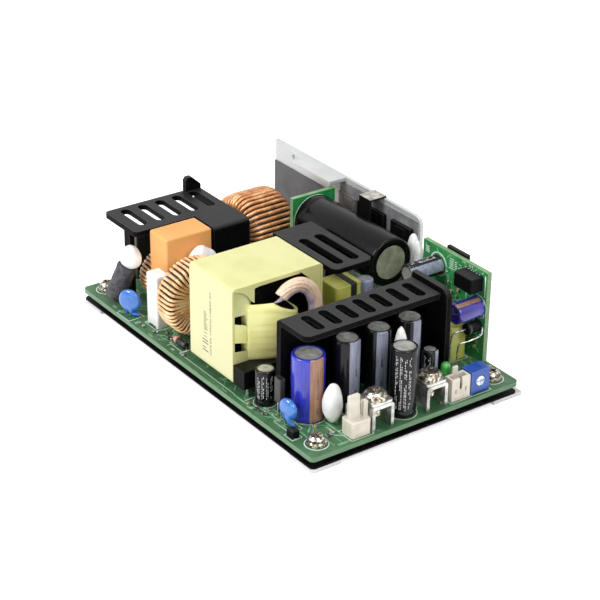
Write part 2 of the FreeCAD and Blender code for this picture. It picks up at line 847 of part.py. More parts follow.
# Three-lead power package: back of the tab on the plane y = 0, lead tips at z = 0
def make_power_packages():
    for label, low in (("wall_package", "wall_package_low"), ("sink_package", "sink_package_low")):
        piece = new_body(label)
        half = "package_width / 2"
        body = extrude(piece, "case", "XY", low, "package_body", [rectangle(
            "-1 * " + half, "-1 * package_depth", half, 0)])
        dress(piece, body, "case_bevel", "package_tab_thickness / 2", lambda middle, direction:
              near(middle.y, "-1 * package_depth"), round_off=False)
        extrude(piece, "tab", "XY", "%s + package_body" % low, "package_tab", [rectangle(
            "-1 * " + half, "-1 * package_tab_thickness", half, 0)])
        extrude(piece, "tab_hole", "XZ", "-1 * package_tab_thickness", "package_tab_thickness", [circle(
            0, "%s + package_body + package_tab / 2" % low, "package_hole")], remove=True)
        for index in (-1, 0, 1):
            middle = "%d * lead_pitch" % index
            block(piece, "lead_%d" % (index + 1), middle + " - lead_width / 2", "-1 * package_depth * 0.6", 0,
                  "lead_width", "lead_thickness", "%s + 0.5" % low)
    wall_places = [("wall_package_first_x + %d * wall_package_pitch" % index, "pad_face")
                   for index in range(3)]
    group("wall_transistors", doc.getObject("wall_package"), wall_places)
    facing_input = Rotation(Vector(0, 0, 1), -90)
    group("power_transistors", doc.getObject("sink_package"), [
        ("input_right - plate_thickness", "input_package_y", 0, facing_input),
        ("middle_package_x", "middle_far - plate_thickness"),
        ("output_wall_x", "output_package_first_y", 0, facing_input),
        ("output_wall_x", "output_package_first_y + output_package_pitch", 0, facing_input)])


# Spring clip that hooks over the chassis wall and presses on the middle wall package
def make_device_clip():
    piece = new_body("device_clip")
    front = "-1 * (package_depth + pad_thickness + clip_thickness)"
    extrude(piece, "strip", "YZ", "-1 * clip_width / 2", "clip_width", [polygon([
        (front, "-1 * clip_reach"), (front + " + clip_thickness", "-1 * clip_reach"),
        (front + " + clip_thickness", 0), ("base_thickness", 0), ("base_thickness", "clip_thickness"),
        (front, "clip_thickness")])])
    mount(piece, "wall_package_first_x + wall_package_pitch", "seat_gap", "wall_height")


# Bridge rectifier in a flat in-line case on the rear wall of the input heatsink
def make_bridge_rectifier():
    piece = new_body("bridge_rectifier")
    case = extrude(piece, "case", "XY", "bridge_low", "bridge_height", [rectangle(
        "-1 * bridge_width / 2", "-1 * bridge_depth", "bridge_width / 2", 0)])
    dress(piece, case, "bevel", "chip_chamfer * 2", lambda middle, direction:
          abs(direction.y) > 0.99 and near(middle.z, "bridge_low + bridge_height") and middle.x > 0,
          round_off=False)
    for index in range(4):
        start = "(%d - 1.5) * lead_pitch * 1.5 - lead_width / 2" % index
        block(piece, "lead_%d" % index, start, "-1 * bridge_depth * 0.6", 0, "lead_width", "lead_thickness",
              "bridge_low + 0.5")
    mount(piece, "bridge_x", "input_far - plate_thickness")


# Main transformer: ferrite core with two windows, spool with pin rails, taped winding and outer wrap
def make_transformer():
    core = new_body("transformer_core")
    half = "core_width / 2"
    extrude(core, "frame", "YZ", "-1 * core_depth / 2", "core_depth", [
        rectangle("-1 * " + half, "core_low", half, "core_low + core_height"),
        rectangle("-1 * window_reach", "window_low", "-1 * core_centre / 2", "window_high"),
        rectangle("core_centre / 2", "window_low", "window_reach", "window_high")])
    mount(core, "transformer_centre_x", "transformer_centre_y")

    bobbin = new_body("transformer_bobbin")
    rail_halves = {-1: "transformer_width / 2 - input_rail_inset", 1: "transformer_width / 2 - rail_inset"}
    inner_y = "core_centre / 2 + core_gap"
    spool_y = "core_centre / 2 + core_gap + bobbin_wall"
    spool_x = "core_depth / 2"
    window_bottom = "window_low + core_gap"
    window_height = "window_high - window_low - 2 * core_gap"
    reach = "window_reach - core_gap"
    for side, name in ((-1, "left"), (1, "right")):
        low, high = ("-1 * (%s)" % spool_y, "-1 * (%s)" % inner_y) if side < 0 else (inner_y, spool_y)
        low_flange = "-1 * (%s)" % reach if side < 0 else inner_y
        block(bobbin, "spool_" + name, "-1 * " + spool_x, low, window_bottom, "core_depth", "bobbin_wall",
              window_height)
        flange_width = "%s - (%s)" % (reach, inner_y)
        block(bobbin, "low_flange_" + name, "-1 * transformer_length / 2", low_flange, window_bottom,
              "transformer_length", flange_width, "bobbin_wall")
        block(bobbin, "high_flange_" + name, "-1 * " + spool_x, low_flange,
              "window_high - core_gap - bobbin_wall", "core_depth", flange_width, "bobbin_wall")
    for side, name in ((-1, "left"), (1, "right")):
        start = "-1 * (transformer_length / 2 + rail_width)" if side < 0 else "transformer_length / 2"
        block(bobbin, "rail_" + name, start, "-1 * (%s)" % rail_halves[side], "rail_low", "rail_width",
              "2 * (%s)" % rail_halves[side], "rail_height")
        bridge = "-1 * transformer_length / 2" if side < 0 else "core_depth / 2 + core_gap"
        block(bobbin, "web_" + name, bridge, "-1 * (%s)" % reach, "window_low + core_gap - 1",
              "core_recess - core_gap", "2 * (%s)" % reach, "bobbin_wall + 1")
    mount(bobbin, "transformer_centre_x", "transformer_centre_y")

    pin = doc.addObject("Part::Cylinder", "transformer_pin")
    bind(pin, "Radius", "pin_radius")
    bind(pin, "Height", "rail_low")
    row_x = "transformer_length / 2 + rail_width - 3 * pin_radius"
    group("transformer_pins", pin, [
        ("transformer_centre_x + %d * (%s)" % (side, row_x),
         "transformer_centre_y + (2 * %d / (pin_count - 1) - 1) * (%s - 5 * pin_radius)" % (index, rail_half))
        for side, rail_half in rail_halves.items() for index in range(int(driving["pin_count"]))])

    winding = new_body("transformer_winding")
    coil_low = window_bottom + " + bobbin_wall + core_gap"
    coil_height = window_height + " - 2 * bobbin_wall - 2 * core_gap"
    coil_reach_x = "(transformer_length / 2 - winding_recess)"
    coil_reach_y = "(window_reach - core_gap)"
    coil = extrude(winding, "coil", "XY", coil_low, coil_height, [
        rectangle("-1 * " + coil_reach_x, "-1 * " + coil_reach_y, coil_reach_x, coil_reach_y)])
    coil = dress(winding, coil, "coil_rounding", "core_recess - winding_recess - core_gap",
                 lambda middle, direction: upright(direction))
    opening_x = "(core_depth / 2 + core_gap)"
    opening_y = "(core_centre / 2 + 2 * core_gap + bobbin_wall)"
    extrude(winding, "opening", "XY", coil_low, coil_height, [
        rectangle("-1 * " + opening_x, "-1 * " + opening_y, opening_x, opening_y)], remove=True)
    root_x, front_x = opening_x + " + 5 * core_gap", "transformer_length / 2 + swelling_reach"
    swelling = extrude(winding, "swelling", "XY", coil_low, coil_height, [polygon([
        (root_x, "swelling_shift - swelling_root_half"), (front_x, "swelling_shift - swelling_front_half"),
        (front_x, "swelling_shift + swelling_front_half"), (root_x, "swelling_shift + swelling_root_half")])])
    swelling = dress(winding, swelling, "swelling_sides", "swelling_rounding", lambda middle, direction:
                     upright(direction) and near(middle.x, front_x))
    dress(winding, swelling, "swelling_top", "swelling_top_rounding", lambda middle, direction:
          near(middle.x, front_x) and near(middle.z, "%s + %s" % (coil_low, coil_height)))
    mount(winding, "transformer_centre_x", "transformer_centre_y")

    wrap = new_body("transformer_wrap")
    inner = "wrap_thickness"
    band = extrude(wrap, "band", "YZ", 0, "transformer_length", [rectangle(
        0, "wrap_low", "transformer_width", "transformer_height")])
    dress(wrap, band, "corners", "wrap_corner", lambda middle, direction: abs(direction.x) > 0.99)
    extrude(wrap, "inside", "YZ", 0, "transformer_length", [rectangle(
        inner, "wrap_low + wrap_thickness", "transformer_width - wrap_thickness",
        "transformer_height - wrap_thickness")], remove=True)
    mount(wrap, "transformer_x", "transformer_y")

    make_transformer_lead("%s + %s" % (coil_low, coil_height))


# Thick braided lead that rises from its pin rail and arches over onto the top of the winding
def make_transformer_lead(winding_top):
    piece = new_body("transformer_lead")
    low = "rail_low + rail_height + seat_gap"
    finish_z = winding_top + " + seat_gap + lead_radius * 0.6"
    path = new_sketch(piece, "path", "YZ", 0)
    up = Vector(0, 0, 1)
    far_y, near_y = number("lead_far_y"), number("lead_near_y")
    bend, top = number("lead_bend"), number("lead_top_z")
    far_centre, near_centre = Vector(far_y - bend, top - bend, 0), Vector(near_y + bend, top - bend, 0)
    quarter = math.pi / 2
    finish = math.pi - math.asin((number(finish_z) - near_centre.y) / bend)
    path.addGeometry(Part.LineSegment(Vector(far_y, number(low), 0), Vector(far_y, far_centre.y, 0)), False)
    path.addGeometry(Part.ArcOfCircle(Part.Circle(far_centre, up, bend), 0, quarter), False)
    path.addGeometry(Part.LineSegment(Vector(far_centre.x, top, 0), Vector(near_centre.x, top, 0)), False)
    path.addGeometry(Part.ArcOfCircle(Part.Circle(near_centre, up, bend), quarter, finish), False)
    path.addConstraint(Sketcher.Constraint("Tangent", 0, 2, 1, 1))
    path.addConstraint(Sketcher.Constraint("Tangent", 1, 2, 2, 1))
    path.addConstraint(Sketcher.Constraint("Tangent", 2, 2, 3, 1))
    path.addConstraint(Sketcher.Constraint("Equal", 1, 3))
    hold(path, "DistanceX", 0, 1, "lead_far_y")
    hold(path, "DistanceY", 0, 1, low)
    hold(path, "DistanceX", 1, 3, "lead_far_y - lead_bend")
    hold(path, "DistanceY", 1, 3, "lead_top_z - lead_bend")
    hold(path, "DistanceX", 3, 3, "lead_near_y + lead_bend")
    hold(path, "DistanceY", 3, 2, finish_z)
    section = new_sketch(piece, "section", "XY", low)
    circle(0, "lead_far_y", "lead_radius")(section)
    doc.recompute()
    braid = piece.newObject("PartDesign::AdditivePipe", piece.Name + "_braid")
    braid.Profile = section
    braid.Spine = (path, ["Edge%d" % (index + 1) for index in range(4)])
    mount(piece, "lead_x")


# Toroid choke: the core is a ring, and each turn is a closed hoop fused with its neighbours in the bore
def make_choke(name, axis_rotation, x, y, inner, outer, width, wire, turns):
    core = new_body(name + "_choke_core")
    half = "%s / 2" % width
    turn(core, "ring", [(inner, "-1 * " + half), (outer, "-1 * " + half), (outer, half), (inner, half)])
    coil = new_body(name + "_choke_winding")
    gap = "winding_clearance"
    cut = "%s * 0.8" % wire
    low_r, high_r = "%s - %s - %s" % (inner, gap, wire), "%s + %s + %s" % (outer, gap, wire)
    high_z = "%s + %s + %s" % (half, gap, wire)
    hoop = [(low_r + " + " + cut, "-1 * (%s)" % high_z), (high_r + " - " + cut, "-1 * (%s)" % high_z),
            (high_r, "-1 * (%s - %s)" % (high_z, cut)), (high_r, "%s - %s" % (high_z, cut)),
            (high_r + " - " + cut, high_z), (low_r + " + " + cut, high_z),
            (low_r, "%s - %s" % (high_z, cut)), (low_r, "-1 * (%s - %s)" % (high_z, cut))]
    opening = rectangle("%s - %s" % (inner, gap), "-1 * (%s + %s)" % (half, gap),
                        "%s + %s" % (outer, gap), "%s + %s" % (half, gap))
    first = extrude(coil, "hoop", "XZ", "-1 * %s / 2" % wire, wire, [polygon(hoop), opening])
    pattern = coil.newObject("PartDesign::PolarPattern", coil.Name + "_turns")
    pattern.Originals = [first]
    pattern.Axis = (origin_feature(coil, "Z_Axis"), [""])
    pattern.Angle = 360
    bind(pattern, "Occurrences", turns)
    coil.Tip = pattern
    for piece in (core, coil):
        mount(piece, x, y, "choke_lift + " + high_r, axis_rotation)


def make_chokes():
    along_x = Rotation(Vector(0, 1, 0), 90)
    along_y = Rotation(Vector(1, 0, 0), 90)
    make_choke("pfc", along_y, "pfc_x", "pfc_y", "pfc_core_inner", "pfc_core_outer", "pfc_core_width",
               "pfc_wire", "pfc_turns")
    make_choke("front", along_x, "front_choke_x", "front_choke_y", "front_core_inner", "front_core_outer",
               "front_core_width", "front_wire", "front_turns")
    make_choke("rear", along_x, "rear_choke_x", "rear_choke_y", "rear_core_inner", "rear_core_outer",
               "rear_core_width", "rear_wire", "rear_turns")


# Box capacitor with rounded edges and a recess between its feet
def make_box_capacitor(label, name):
    piece = new_body(label)
    length, width, height = name + "_length", name + "_width", name + "_height"
    box = block(piece, "box", 0, 0, 0, length, width, height)
    dress(piece, box, "edges", "box_corner", lambda middle, direction:
          upright(direction) or near(middle.z, height))
    extrude(piece, "recess", "XY", 0, "box_foot", [rectangle(
        length + " * 0.2", 0, length + " * 0.8", width)], remove=True)
    mount(piece, name + "_x", name + "_y")


# Dipped disc capacitors standing on two wires
def make_disc_capacitors():
    piece = new_body("disc")
    half = "disc_thickness / 2"
    turn(piece, "coat", [(0, "-1 * " + half), ("disc_radius - disc_edge", "-1 * " + half),
                         ("disc_radius", "-1 * %s + disc_edge * 0.8" % half),
                         ("disc_radius", "%s - disc_edge * 0.8" % half),
                         ("disc_radius - disc_edge", half), (0, half)])
    wires = [circle("%d * disc_pitch / 2" % side, 0, "disc_wire") for side in (-1, 1)]
    extrude(piece, "wires", "XZ", "-1 * (disc_lift + disc_radius)", "disc_lift + disc_radius / 2", wires)
    standing = Rotation(Vector(1, 0, 0), 90)
    group("disc_capacitors", piece, [
        (name + "_x", name + "_y", "disc_lift + disc_radius",
         Rotation(Vector(0, 0, 1), driving[name + "_turn"]).multiply(standing))
        for name in ("left_disc", "front_disc")])


# Fuse in a black sleeve, leaning on its wires
def make_sleeved_fuse():
    piece = new_body("sleeved_fuse")
    turn(piece, "sleeve", [(0, 0), ("fuse_radius - fuse_rim", 0), ("fuse_radius", "fuse_rim"),
                           ("fuse_radius", "fuse_length - fuse_rim"),
                           ("fuse_radius - fuse_rim", "fuse_length"), (0, "fuse_length")])
    mount(piece, "fuse_x", "fuse_y", "fuse_radius * sin(fuse_tilt)",
          Rotation(Vector(0, 1, 0), driving["fuse_tilt"]))


def can_profile(radius, height, groove):
    """Half section of a sleeved can: rolled groove near the seal and a rolled rim at the top."""
    return [(0, 0), (radius, 0), (radius, "%s - can_groove" % groove),
            ("%s - can_groove" % radius, groove), (radius, "%s + can_groove" % groove),
            (radius, "%s - can_rim" % height), ("%s - can_rim" % radius, height), (0, height)]


def make_can(label, radius, height, groove="can_groove_height"):
    piece = new_body(label)
    turn(piece, "can", can_profile(radius, height, groove))
    return piece


def make_can_capacitors():
    bulk = make_can("bulk_capacitor", "bulk_radius", "bulk_length", "bulk_groove")
    mount(bulk, "riser_board_face + seat_gap", "bulk_y", "bulk_z", Rotation(Vector(0, 1, 0), 90))
    for name in ("blue", "corner"):
        can = make_can(name + "_capacitor", name + "_can_radius", name + "_can_height")
        mount(can, name + "_can_x", name + "_can_y")
    output = make_can("output_can", "output_can_radius", "output_can_height")
    group("output_capacitors", output, [
        ("output_can_x", "output_can_first_y + %d * output_can_pitch" % index)
        for index in range(int(driving["output_can_count"]))])
    small_cans = []
    for name in ("small_can", "side_can", "grey_can"):
        can = make_can(name, name + "_radius", name + "_height")
        mount(can, name + "_x", name + "_y")
        small_cans.append(can)
    bundle("small_capacitors", small_cans)
    for name in ("control", "timing"):
        can = make_can(name + "_capacitor", name + "_can_radius", name + "_can_length")
        mount(can, name + "_can_x", "control_y", name + "_can_z", Rotation(Vector(1, 0, 0), 90))


# Small board on edge that carries the bulk capacitor
def make_riser_board():
    piece = new_body("riser_board")
    block(piece, "laminate", 0, 0, 0, "board_thickness", "riser_board_width", "riser_board_height")
    mount(piece, "riser_board_x", "riser_board_y")


# Silicone beads that tie tall parts to their neighbours
def make_silicone_beads():
    beads = [
        ("choke_bead_x", "choke_bead_y", "choke_bead_z", "choke_bead_long", "choke_bead_wide",
         "choke_bead_tall"),
        ("fuse_bead_x", "fuse_bead_y", "fuse_bead_z", "fuse_bead_long", "fuse_bead_wide", "fuse_bead_tall"),
        ("can_bead_x", "can_bead_y", "can_bead_tall", "can_bead_long", "can_bead_wide", "can_bead_tall"),
        ("peak_bead_x", "peak_bead_y", "peak_bead_z", "peak_bead_long", "peak_bead_wide", "peak_bead_tall"),
        ("(wall_end + control_x) / 2", "wall_bead_y", "wall_bead_z", "(control_x - wall_end) / 2",
         "seat_gap - wall_bead_y", "wall_bead_tall")]
    solids = []
    for index, (x, y, z, long_half, wide_half, tall_half) in enumerate(beads):
        bead = doc.addObject("Part::Ellipsoid", "bead_%d" % index)
        for radius, text in (("Radius1", tall_half), ("Radius2", long_half), ("Radius3", wide_half)):
            bind(bead, radius, text)
        mount(bead, x, y, z)
        solids.append(bead)
    bundle("silicone_beads", solids)


# Control board on edge, its chips, diode and the small taped transformers
def make_control_board():
    piece = new_body("control_board")
    block(piece, "laminate", 0, 0, 0, "control_length", "board_thickness", "control_height")
    mount(piece, "control_x", "control_y")

    chips = []
    for name, y in (("chip", "control_y - chip_depth"), ("rear_chip", "control_y + board_thickness")):
        chip = new_body(name)
        length, height = name + "_length", name + "_height"
        case = block(chip, "case", "-1 * %s / 2" % length, 0, "-1 * %s / 2" % height, length,
                     name + "_depth", height)
        dress(chip, case, "bevel", "chip_chamfer / 2", lambda middle, direction: True, round_off=False)
        mount(chip, name + "_x", y, name + "_z")
        chips.append(chip)
    bundle("control_chips", chips)

    diode = new_body("control_diode")
    turn(diode, "case", [(0, 0), ("diode_wire", 0), ("diode_wire", "diode_wire"),
                         ("diode_radius", "diode_wire"), ("diode_radius", "diode_length"),
                         ("diode_wire", "diode_length"), ("diode_wire", "diode_length + diode_wire * 3"),
                         (0, "diode_length + diode_wire * 3")])
    mount(diode, "diode_x", "control_y", "diode_z", Rotation(Vector(1, 0, 0), 90))

    for label, name in (("gate_transformer", "gate"), ("auxiliary_transformer", "auxiliary")):
        taped = new_body(label)
        length, width, height = name + "_length", name + "_width", name + "_height"
        body = block(taped, "body", "-1 * %s / 2" % length, "-1 * %s / 2" % width, 0, length, width, height)
        dress(taped, body, "corners", "wrap_corner", lambda middle, direction: upright(direction))
        mount(taped, name + "_x", name + "_y")


def make_small_parts():
    coupler = new_body("feedback_optocoupler")
    case = block(coupler, "case", "-1 * coupler_length / 2", "-1 * coupler_width / 2", 0,
                 "coupler_length", "coupler_width", "coupler_height")
    dress(coupler, case, "bevel", "chip_chamfer", lambda middle, direction:
          near(middle.z, "coupler_height"), round_off=False)
    mount(coupler, "coupler_x", "coupler_y")

    snubber = new_body("snubber_diode")
    turn(snubber, "case", [(0, 0), ("snubber_radius * 0.8", 0), ("snubber_radius", "snubber_radius * 0.3"),
                           ("snubber_radius", "snubber_length - snubber_radius * 0.3"),
                           ("snubber_radius * 0.8", "snubber_length"), (0, "snubber_length")])
    mount(snubber, "snubber_x", "snubber_y", "snubber_radius", Rotation(Vector(0, 1, 0), 90))

    film = new_body("film_capacitor")
    case = block(film, "case", 0, 0, "film_box_low", "film_box_length", "film_box_width",
                 "film_box_top - film_box_low")
    dress(film, case, "edges", "box_corner / 2", lambda middle, direction: upright(direction))
    wires = [circle("film_box_length / 2 + %d * film_box_length / 4" % side, "film_box_width / 2", "disc_wire")
             for side in (-1, 1)]
    extrude(film, "wires", "XY", 0, "film_box_low + disc_wire", wires)
    mount(film, "film_box_x", "film_box_y")

    diode = new_body("corner_diode")
    case = block(diode, "case", "-1 * corner_diode_length / 2", "-1 * corner_diode_width / 2", 0,
                 "corner_diode_length", "corner_diode_width", "corner_diode_height")
    dress(diode, case, "bevel", "chip_chamfer", lambda middle, direction:
          near(middle.z, "corner_diode_height"), round_off=False)
    mount(diode, "corner_diode_x", "corner_diode_y")


# Screw terminals: folded brackets, square washers and pan head screws
def make_terminals():
    metal, width, depth = "terminal_metal", "terminal_width", "terminal_depth"
    centre_x = "output_edge - terminal_depth / 2"
    spots = [(centre_x, y) for y in ("terminal_front_y", "terminal_rear_y")]
    bracket = new_body("terminal_bracket")
    half = "terminal_width / 2"
    hoop = extrude(bracket, "hoop", "YZ", "-1 * terminal_depth / 2", depth, [polygon([
        ("-1 * " + half, 0), ("-1 * (%s - %s)" % (half, metal), 0),
        ("-1 * (%s - %s)" % (half, metal), "terminal_height - " + metal),
        ("%s - %s" % (half, metal), "terminal_height - " + metal), ("%s - %s" % (half, metal), 0),
        (half, 0), (half, "terminal_height"), ("-1 * " + half, "terminal_height")])])
    dress(bracket, hoop, "folds", metal, lambda middle, direction:
          abs(direction.x) > 0.99 and near(middle.z, "terminal_height"))
    extrude(bracket, "screw_hole", "XY", "terminal_height - " + metal, metal,
            [circle(0, 0, "terminal_hole")], remove=True)
    group("terminal_brackets", bracket, spots)

    washer = new_body("terminal_washer")
    side = "square_washer / 2"
    plate = extrude(washer, "plate", "XY", "terminal_height", "square_washer_height", [
        rectangle("-1 * " + side, "-1 * " + side, side, side), circle(0, 0, "terminal_hole")])
    dress(washer, plate, "corners", "square_washer_height", lambda middle, direction: upright(direction))
    group("terminal_washers", washer, spots)

    screw = new_body("terminal_screw")
    seat = "terminal_height + square_washer_height"
    turn(screw, "profile", [
        (0, "%s - terminal_shank_length" % seat), ("terminal_shank", "%s - terminal_shank_length" % seat),
        ("terminal_shank", seat), ("terminal_head_radius", seat),
        ("terminal_head_radius", "%s + terminal_head_height * 0.5" % seat),
        ("terminal_head_radius * 0.7", "%s + terminal_head_height * 0.9" % seat),
        (0, "%s + terminal_head_height" % seat)])
    cross_recess(screw, "%s + terminal_head_height" % seat)
    group("terminal_screws", screw, spots)


# Headers at the board's edges, and all their pins
def make_headers():
    output = new_body("output_header")
    half = "output_header_width / 2"
    base = block(output, "base", "-1 * output_header_depth", "-1 * " + half, 0, "output_header_depth",
                 "output_header_width", "output_header_height")
    latch_x = "-1 * output_header_depth * 0.55"
    base = dress(output, base, "base_edges", "latch_thickness / 2", lambda middle, direction:
                 upright(direction), round_off=False)
    block(output, "latch", latch_x, "-1 * %s + 0.2" % half, "output_header_height / 2", "latch_thickness",
          "latch_width", "latch_height - output_header_height / 2")
    latch = block(output, "latch_small", latch_x, "%s - 0.2 - latch_small_width" % half,
                  "output_header_height / 2", "latch_thickness", "latch_small_width",
                  "latch_small_height - output_header_height / 2")
    dress(output, latch, "latch_edges", "latch_thickness / 3", lambda middle, direction:
          middle.z > number("latch_small_height") - 0.1, round_off=False)
    mount(output, "output_edge", "output_header_y")

    sense = new_body("sense_header")
    half = "sense_header_width / 2"
    block(sense, "shell", "-1 * sense_header_depth", "-1 * " + half, 0, "sense_header_depth",
          "sense_header_width", "sense_header_height")
    extrude(sense, "socket", "XY", "sense_floor", "sense_header_height - sense_floor", [rectangle(
        "sense_wall - sense_header_depth", "-1 * (%s - sense_wall)" % half, "-1 * sense_wall",
        "%s - sense_wall" % half)], remove=True)
    openings = [rectangle("-1 * sense_slot / 2", "sense_slot_low", "sense_slot / 2", "sense_header_height")]
    for side in (-1, 1):
        middle = "%d * sense_window_pitch / 2" % side
        openings.append(rectangle(middle + " - sense_window / 2", "sense_window_low",
                                  middle + " + sense_window / 2", "sense_window_high"))
    extrude(sense, "openings", "YZ", "-1 * sense_wall", "sense_wall", openings, remove=True)
    block(sense, "tab", "-1 * sense_header_depth", "-1 * sense_tab_width / 2", "sense_floor", "sense_wall",
          "sense_tab_width", "sense_tab_top - sense_floor")
    mount(sense, "output_edge", "sense_header_y")

    mains = new_body("input_header")
    half = "input_header_width / 2"
    block(mains, "base", 0, "-1 * " + half, 0, "input_header_depth", "input_header_width",
          "input_header_height")
    block(mains, "latch", "input_header_depth - latch_thickness", "-1 * %s + 1" % half,
          "input_header_height / 2", "latch_thickness", "input_header_width - 2",
          "latch_small_height - input_header_height / 2")
    mount(mains, "input_header_x", "input_header_y")

    rows = [
        ("output_header", "output_edge - output_header_depth * 0.8", "header_pitch", "header_pin",
         "output_header_height", "header_pin_height"),
        ("sense_header", "output_edge - sense_header_depth / 2", "sense_pitch", "sense_pin", "sense_floor",
         "sense_header_height - sense_wall"),
        ("input_header", "input_header_x + input_header_depth * 0.4", "header_pitch * 1.6", "header_pin",
         "input_header_height", "header_pin_height")]
    pins = []
    for name, x, pitch, size, low, high in rows:
        for side in (-1, 1):
            middle_y = "%s_y + %d * (%s) / 2" % (name, side, pitch)
            pins.append(solid_box("%s_pin_%d" % (name, side + 1), "%s - %s / 2" % (x, size),
                                  "%s - %s / 2" % (middle_y, size), low, size, size, "%s - %s" % (high, low)))
    bundle("header_pins", pins)


# Trimmer: square case with a stepped bore, and the slotted rotor that turns in it
def make_trimmer():
    case = new_body("trimmer_body")
    half = "trimmer_width / 2"
    block(case, "case", "-1 * trimmer_depth", "-1 * " + half, "trimmer_foot", "trimmer_depth",
          "trimmer_width", "trimmer_height - trimmer_foot")
    for side, name in ((-1, "left"), (1, "right")):
        start = "-1 * " + half if side < 0 else half + " - trimmer_foot * 3"
        block(case, "foot_" + name, "-1 * trimmer_depth", start, 0, "trimmer_depth", "trimmer_foot * 3",
              "trimmer_foot + 0.5")
    extrude(case, "head_recess", "YZ", "-1 * (rotor_thickness + seat_gap)", "rotor_thickness + seat_gap",
            [circle(0, "rotor_z", "rotor_radius + rotor_head_gap")], remove=True)
    extrude(case, "shaft_bore", "YZ", "-1 * (rotor_thickness + 2 * seat_gap + rotor_shaft_length)",
            "rotor_shaft_length + 2 * seat_gap", [circle(0, "rotor_z", "rotor_shaft + rotor_gap")], remove=True)
    mount(case, "output_edge", "trimmer_y")

    rotor = new_body("trimmer_rotor")
    extrude(rotor, "head", "YZ", "-1 * rotor_thickness", "rotor_thickness", [circle(0, 0, "rotor_radius")])
    extrude(rotor, "shaft", "YZ", "-1 * (rotor_thickness + rotor_shaft_length)",
            "rotor_shaft_length + rotor_thickness / 2", [circle(0, 0, "rotor_shaft")])
    reach = "rotor_radius * 0.8"
    for name, half_y, half_z in (("slot_y", reach, "rotor_slot_width / 2"),
                                 ("slot_z", "rotor_slot_width / 2", reach)):
        extrude(rotor, name, "YZ", "-1 * rotor_slot_depth", "rotor_slot_depth", [rectangle(
            "-1 * " + half_y, "-1 * " + half_z, half_y, half_z)], remove=True)
    mount(rotor, "output_edge", "trimmer_y", "rotor_z")


# Indicator lamp on two long wires
def make_led():
    piece = new_body("led")
    flange_top = "led_lift + led_flange_height"
    shoulder = "led_top - led_radius"
    turn(piece, "lens", [
        (0, "led_lift"), ("led_flange", "led_lift"), ("led_flange", flange_top), ("led_radius", flange_top),
        ("led_radius", shoulder), ("led_radius * 0.87", shoulder + " + led_radius * 0.5"),
        ("led_radius * 0.5", shoulder + " + led_radius * 0.87"), (0, "led_top")])
    for side, name in ((-1, "left"), (1, "right")):
        extrude(piece, "wire_" + name, "XY", 0, "led_lift + 0.5", [circle(
            0, "%d * led_radius * 0.8" % side, "led_wire")])
    mount(piece, "led_x", "led_y")


make_chassis()
make_insulation_sheet()
make_standoffs()
make_board_screws()
make_main_board()
make_input_heatsink()
make_output_heatsink()
make_middle_heatsink()
make_wall_insulation()
make_power_packages()
make_device_clip()
make_bridge_rectifier()
make_transformer()
make_chokes()
make_box_capacitor("orange_capacitor", "orange")
make_box_capacitor("white_capacitor", "white")
make_disc_capacitors()
make_sleeved_fuse()
make_can_capacitors()
make_riser_board()
make_silicone_beads()
make_control_board()
make_small_parts()
make_terminals()
make_headers()
make_trimmer()
make_led()
doc.recompute()

# A bundle is one sub-part, so its members and the templates of its copies are not written by themselves
bundles = [item for item in doc.Objects if item.TypeId == "Part::Compound"]
members = {member.Name for item in bundles for member in item.Links}
members |= {item.LinkedObject.Name for item in doc.Objects if item.TypeId == "App::Link"}
bodies = [item for item in doc.Objects if item.TypeId == "PartDesign::Body"]
pieces = bundles + [item for item in bodies if item.Name not in members]

faults = [item.Name for item in doc.Objects if "Invalid" in item.State or "Error" in item.State]
faults += [item.Label for item in pieces if item.Shape.isNull() or not item.Shape.isValid()]
for item in doc.Objects:
    if item.TypeId in ("PartDesign::Pocket", "PartDesign::Groove"):
        if item.Shape.Volume >= item.BaseFeature.Shape.Volume:
            faults.append(item.Name)
if faults:
    raise RuntimeError("Features that failed: " + ", ".join(faults))

os.makedirs("parts", exist_ok=True)
for item in pieces:
    item.Shape.exportStep("parts/" + item.Label + ".step")
print(len(pieces), "sub-parts written")
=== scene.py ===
import random
from itertools import product
from math import copysign, cos, hypot, inf, pi, radians, sin

import bmesh
import bpy
from mathutils import Matrix, Vector, noise


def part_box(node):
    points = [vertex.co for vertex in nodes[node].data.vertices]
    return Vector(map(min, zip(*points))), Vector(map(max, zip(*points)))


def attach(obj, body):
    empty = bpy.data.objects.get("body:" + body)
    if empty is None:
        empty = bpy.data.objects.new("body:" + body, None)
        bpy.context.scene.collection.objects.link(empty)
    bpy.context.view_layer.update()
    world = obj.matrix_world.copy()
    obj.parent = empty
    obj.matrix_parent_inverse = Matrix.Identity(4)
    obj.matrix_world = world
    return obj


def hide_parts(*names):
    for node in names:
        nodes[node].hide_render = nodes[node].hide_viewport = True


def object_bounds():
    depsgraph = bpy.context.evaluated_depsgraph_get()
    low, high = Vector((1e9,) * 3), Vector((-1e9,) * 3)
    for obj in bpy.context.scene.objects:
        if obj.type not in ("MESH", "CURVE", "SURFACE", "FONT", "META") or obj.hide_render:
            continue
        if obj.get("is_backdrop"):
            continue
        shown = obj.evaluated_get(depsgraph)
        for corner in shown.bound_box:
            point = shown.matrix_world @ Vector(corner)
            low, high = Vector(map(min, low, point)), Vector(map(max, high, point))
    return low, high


MM = 0.001
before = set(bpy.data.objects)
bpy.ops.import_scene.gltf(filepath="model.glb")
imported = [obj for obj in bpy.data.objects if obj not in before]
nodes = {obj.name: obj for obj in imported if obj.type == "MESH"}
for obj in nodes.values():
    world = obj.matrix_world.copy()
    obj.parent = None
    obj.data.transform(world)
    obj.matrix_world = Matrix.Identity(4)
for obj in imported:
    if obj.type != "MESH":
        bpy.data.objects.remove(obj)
cad_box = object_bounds()
chance = random.Random(7)


# Materials: colours are screen colours, lengths are in millimetres

EDGE_WIDTH = 0.35
WHITE, BLACK = 0xFFFFFF, 0x000000


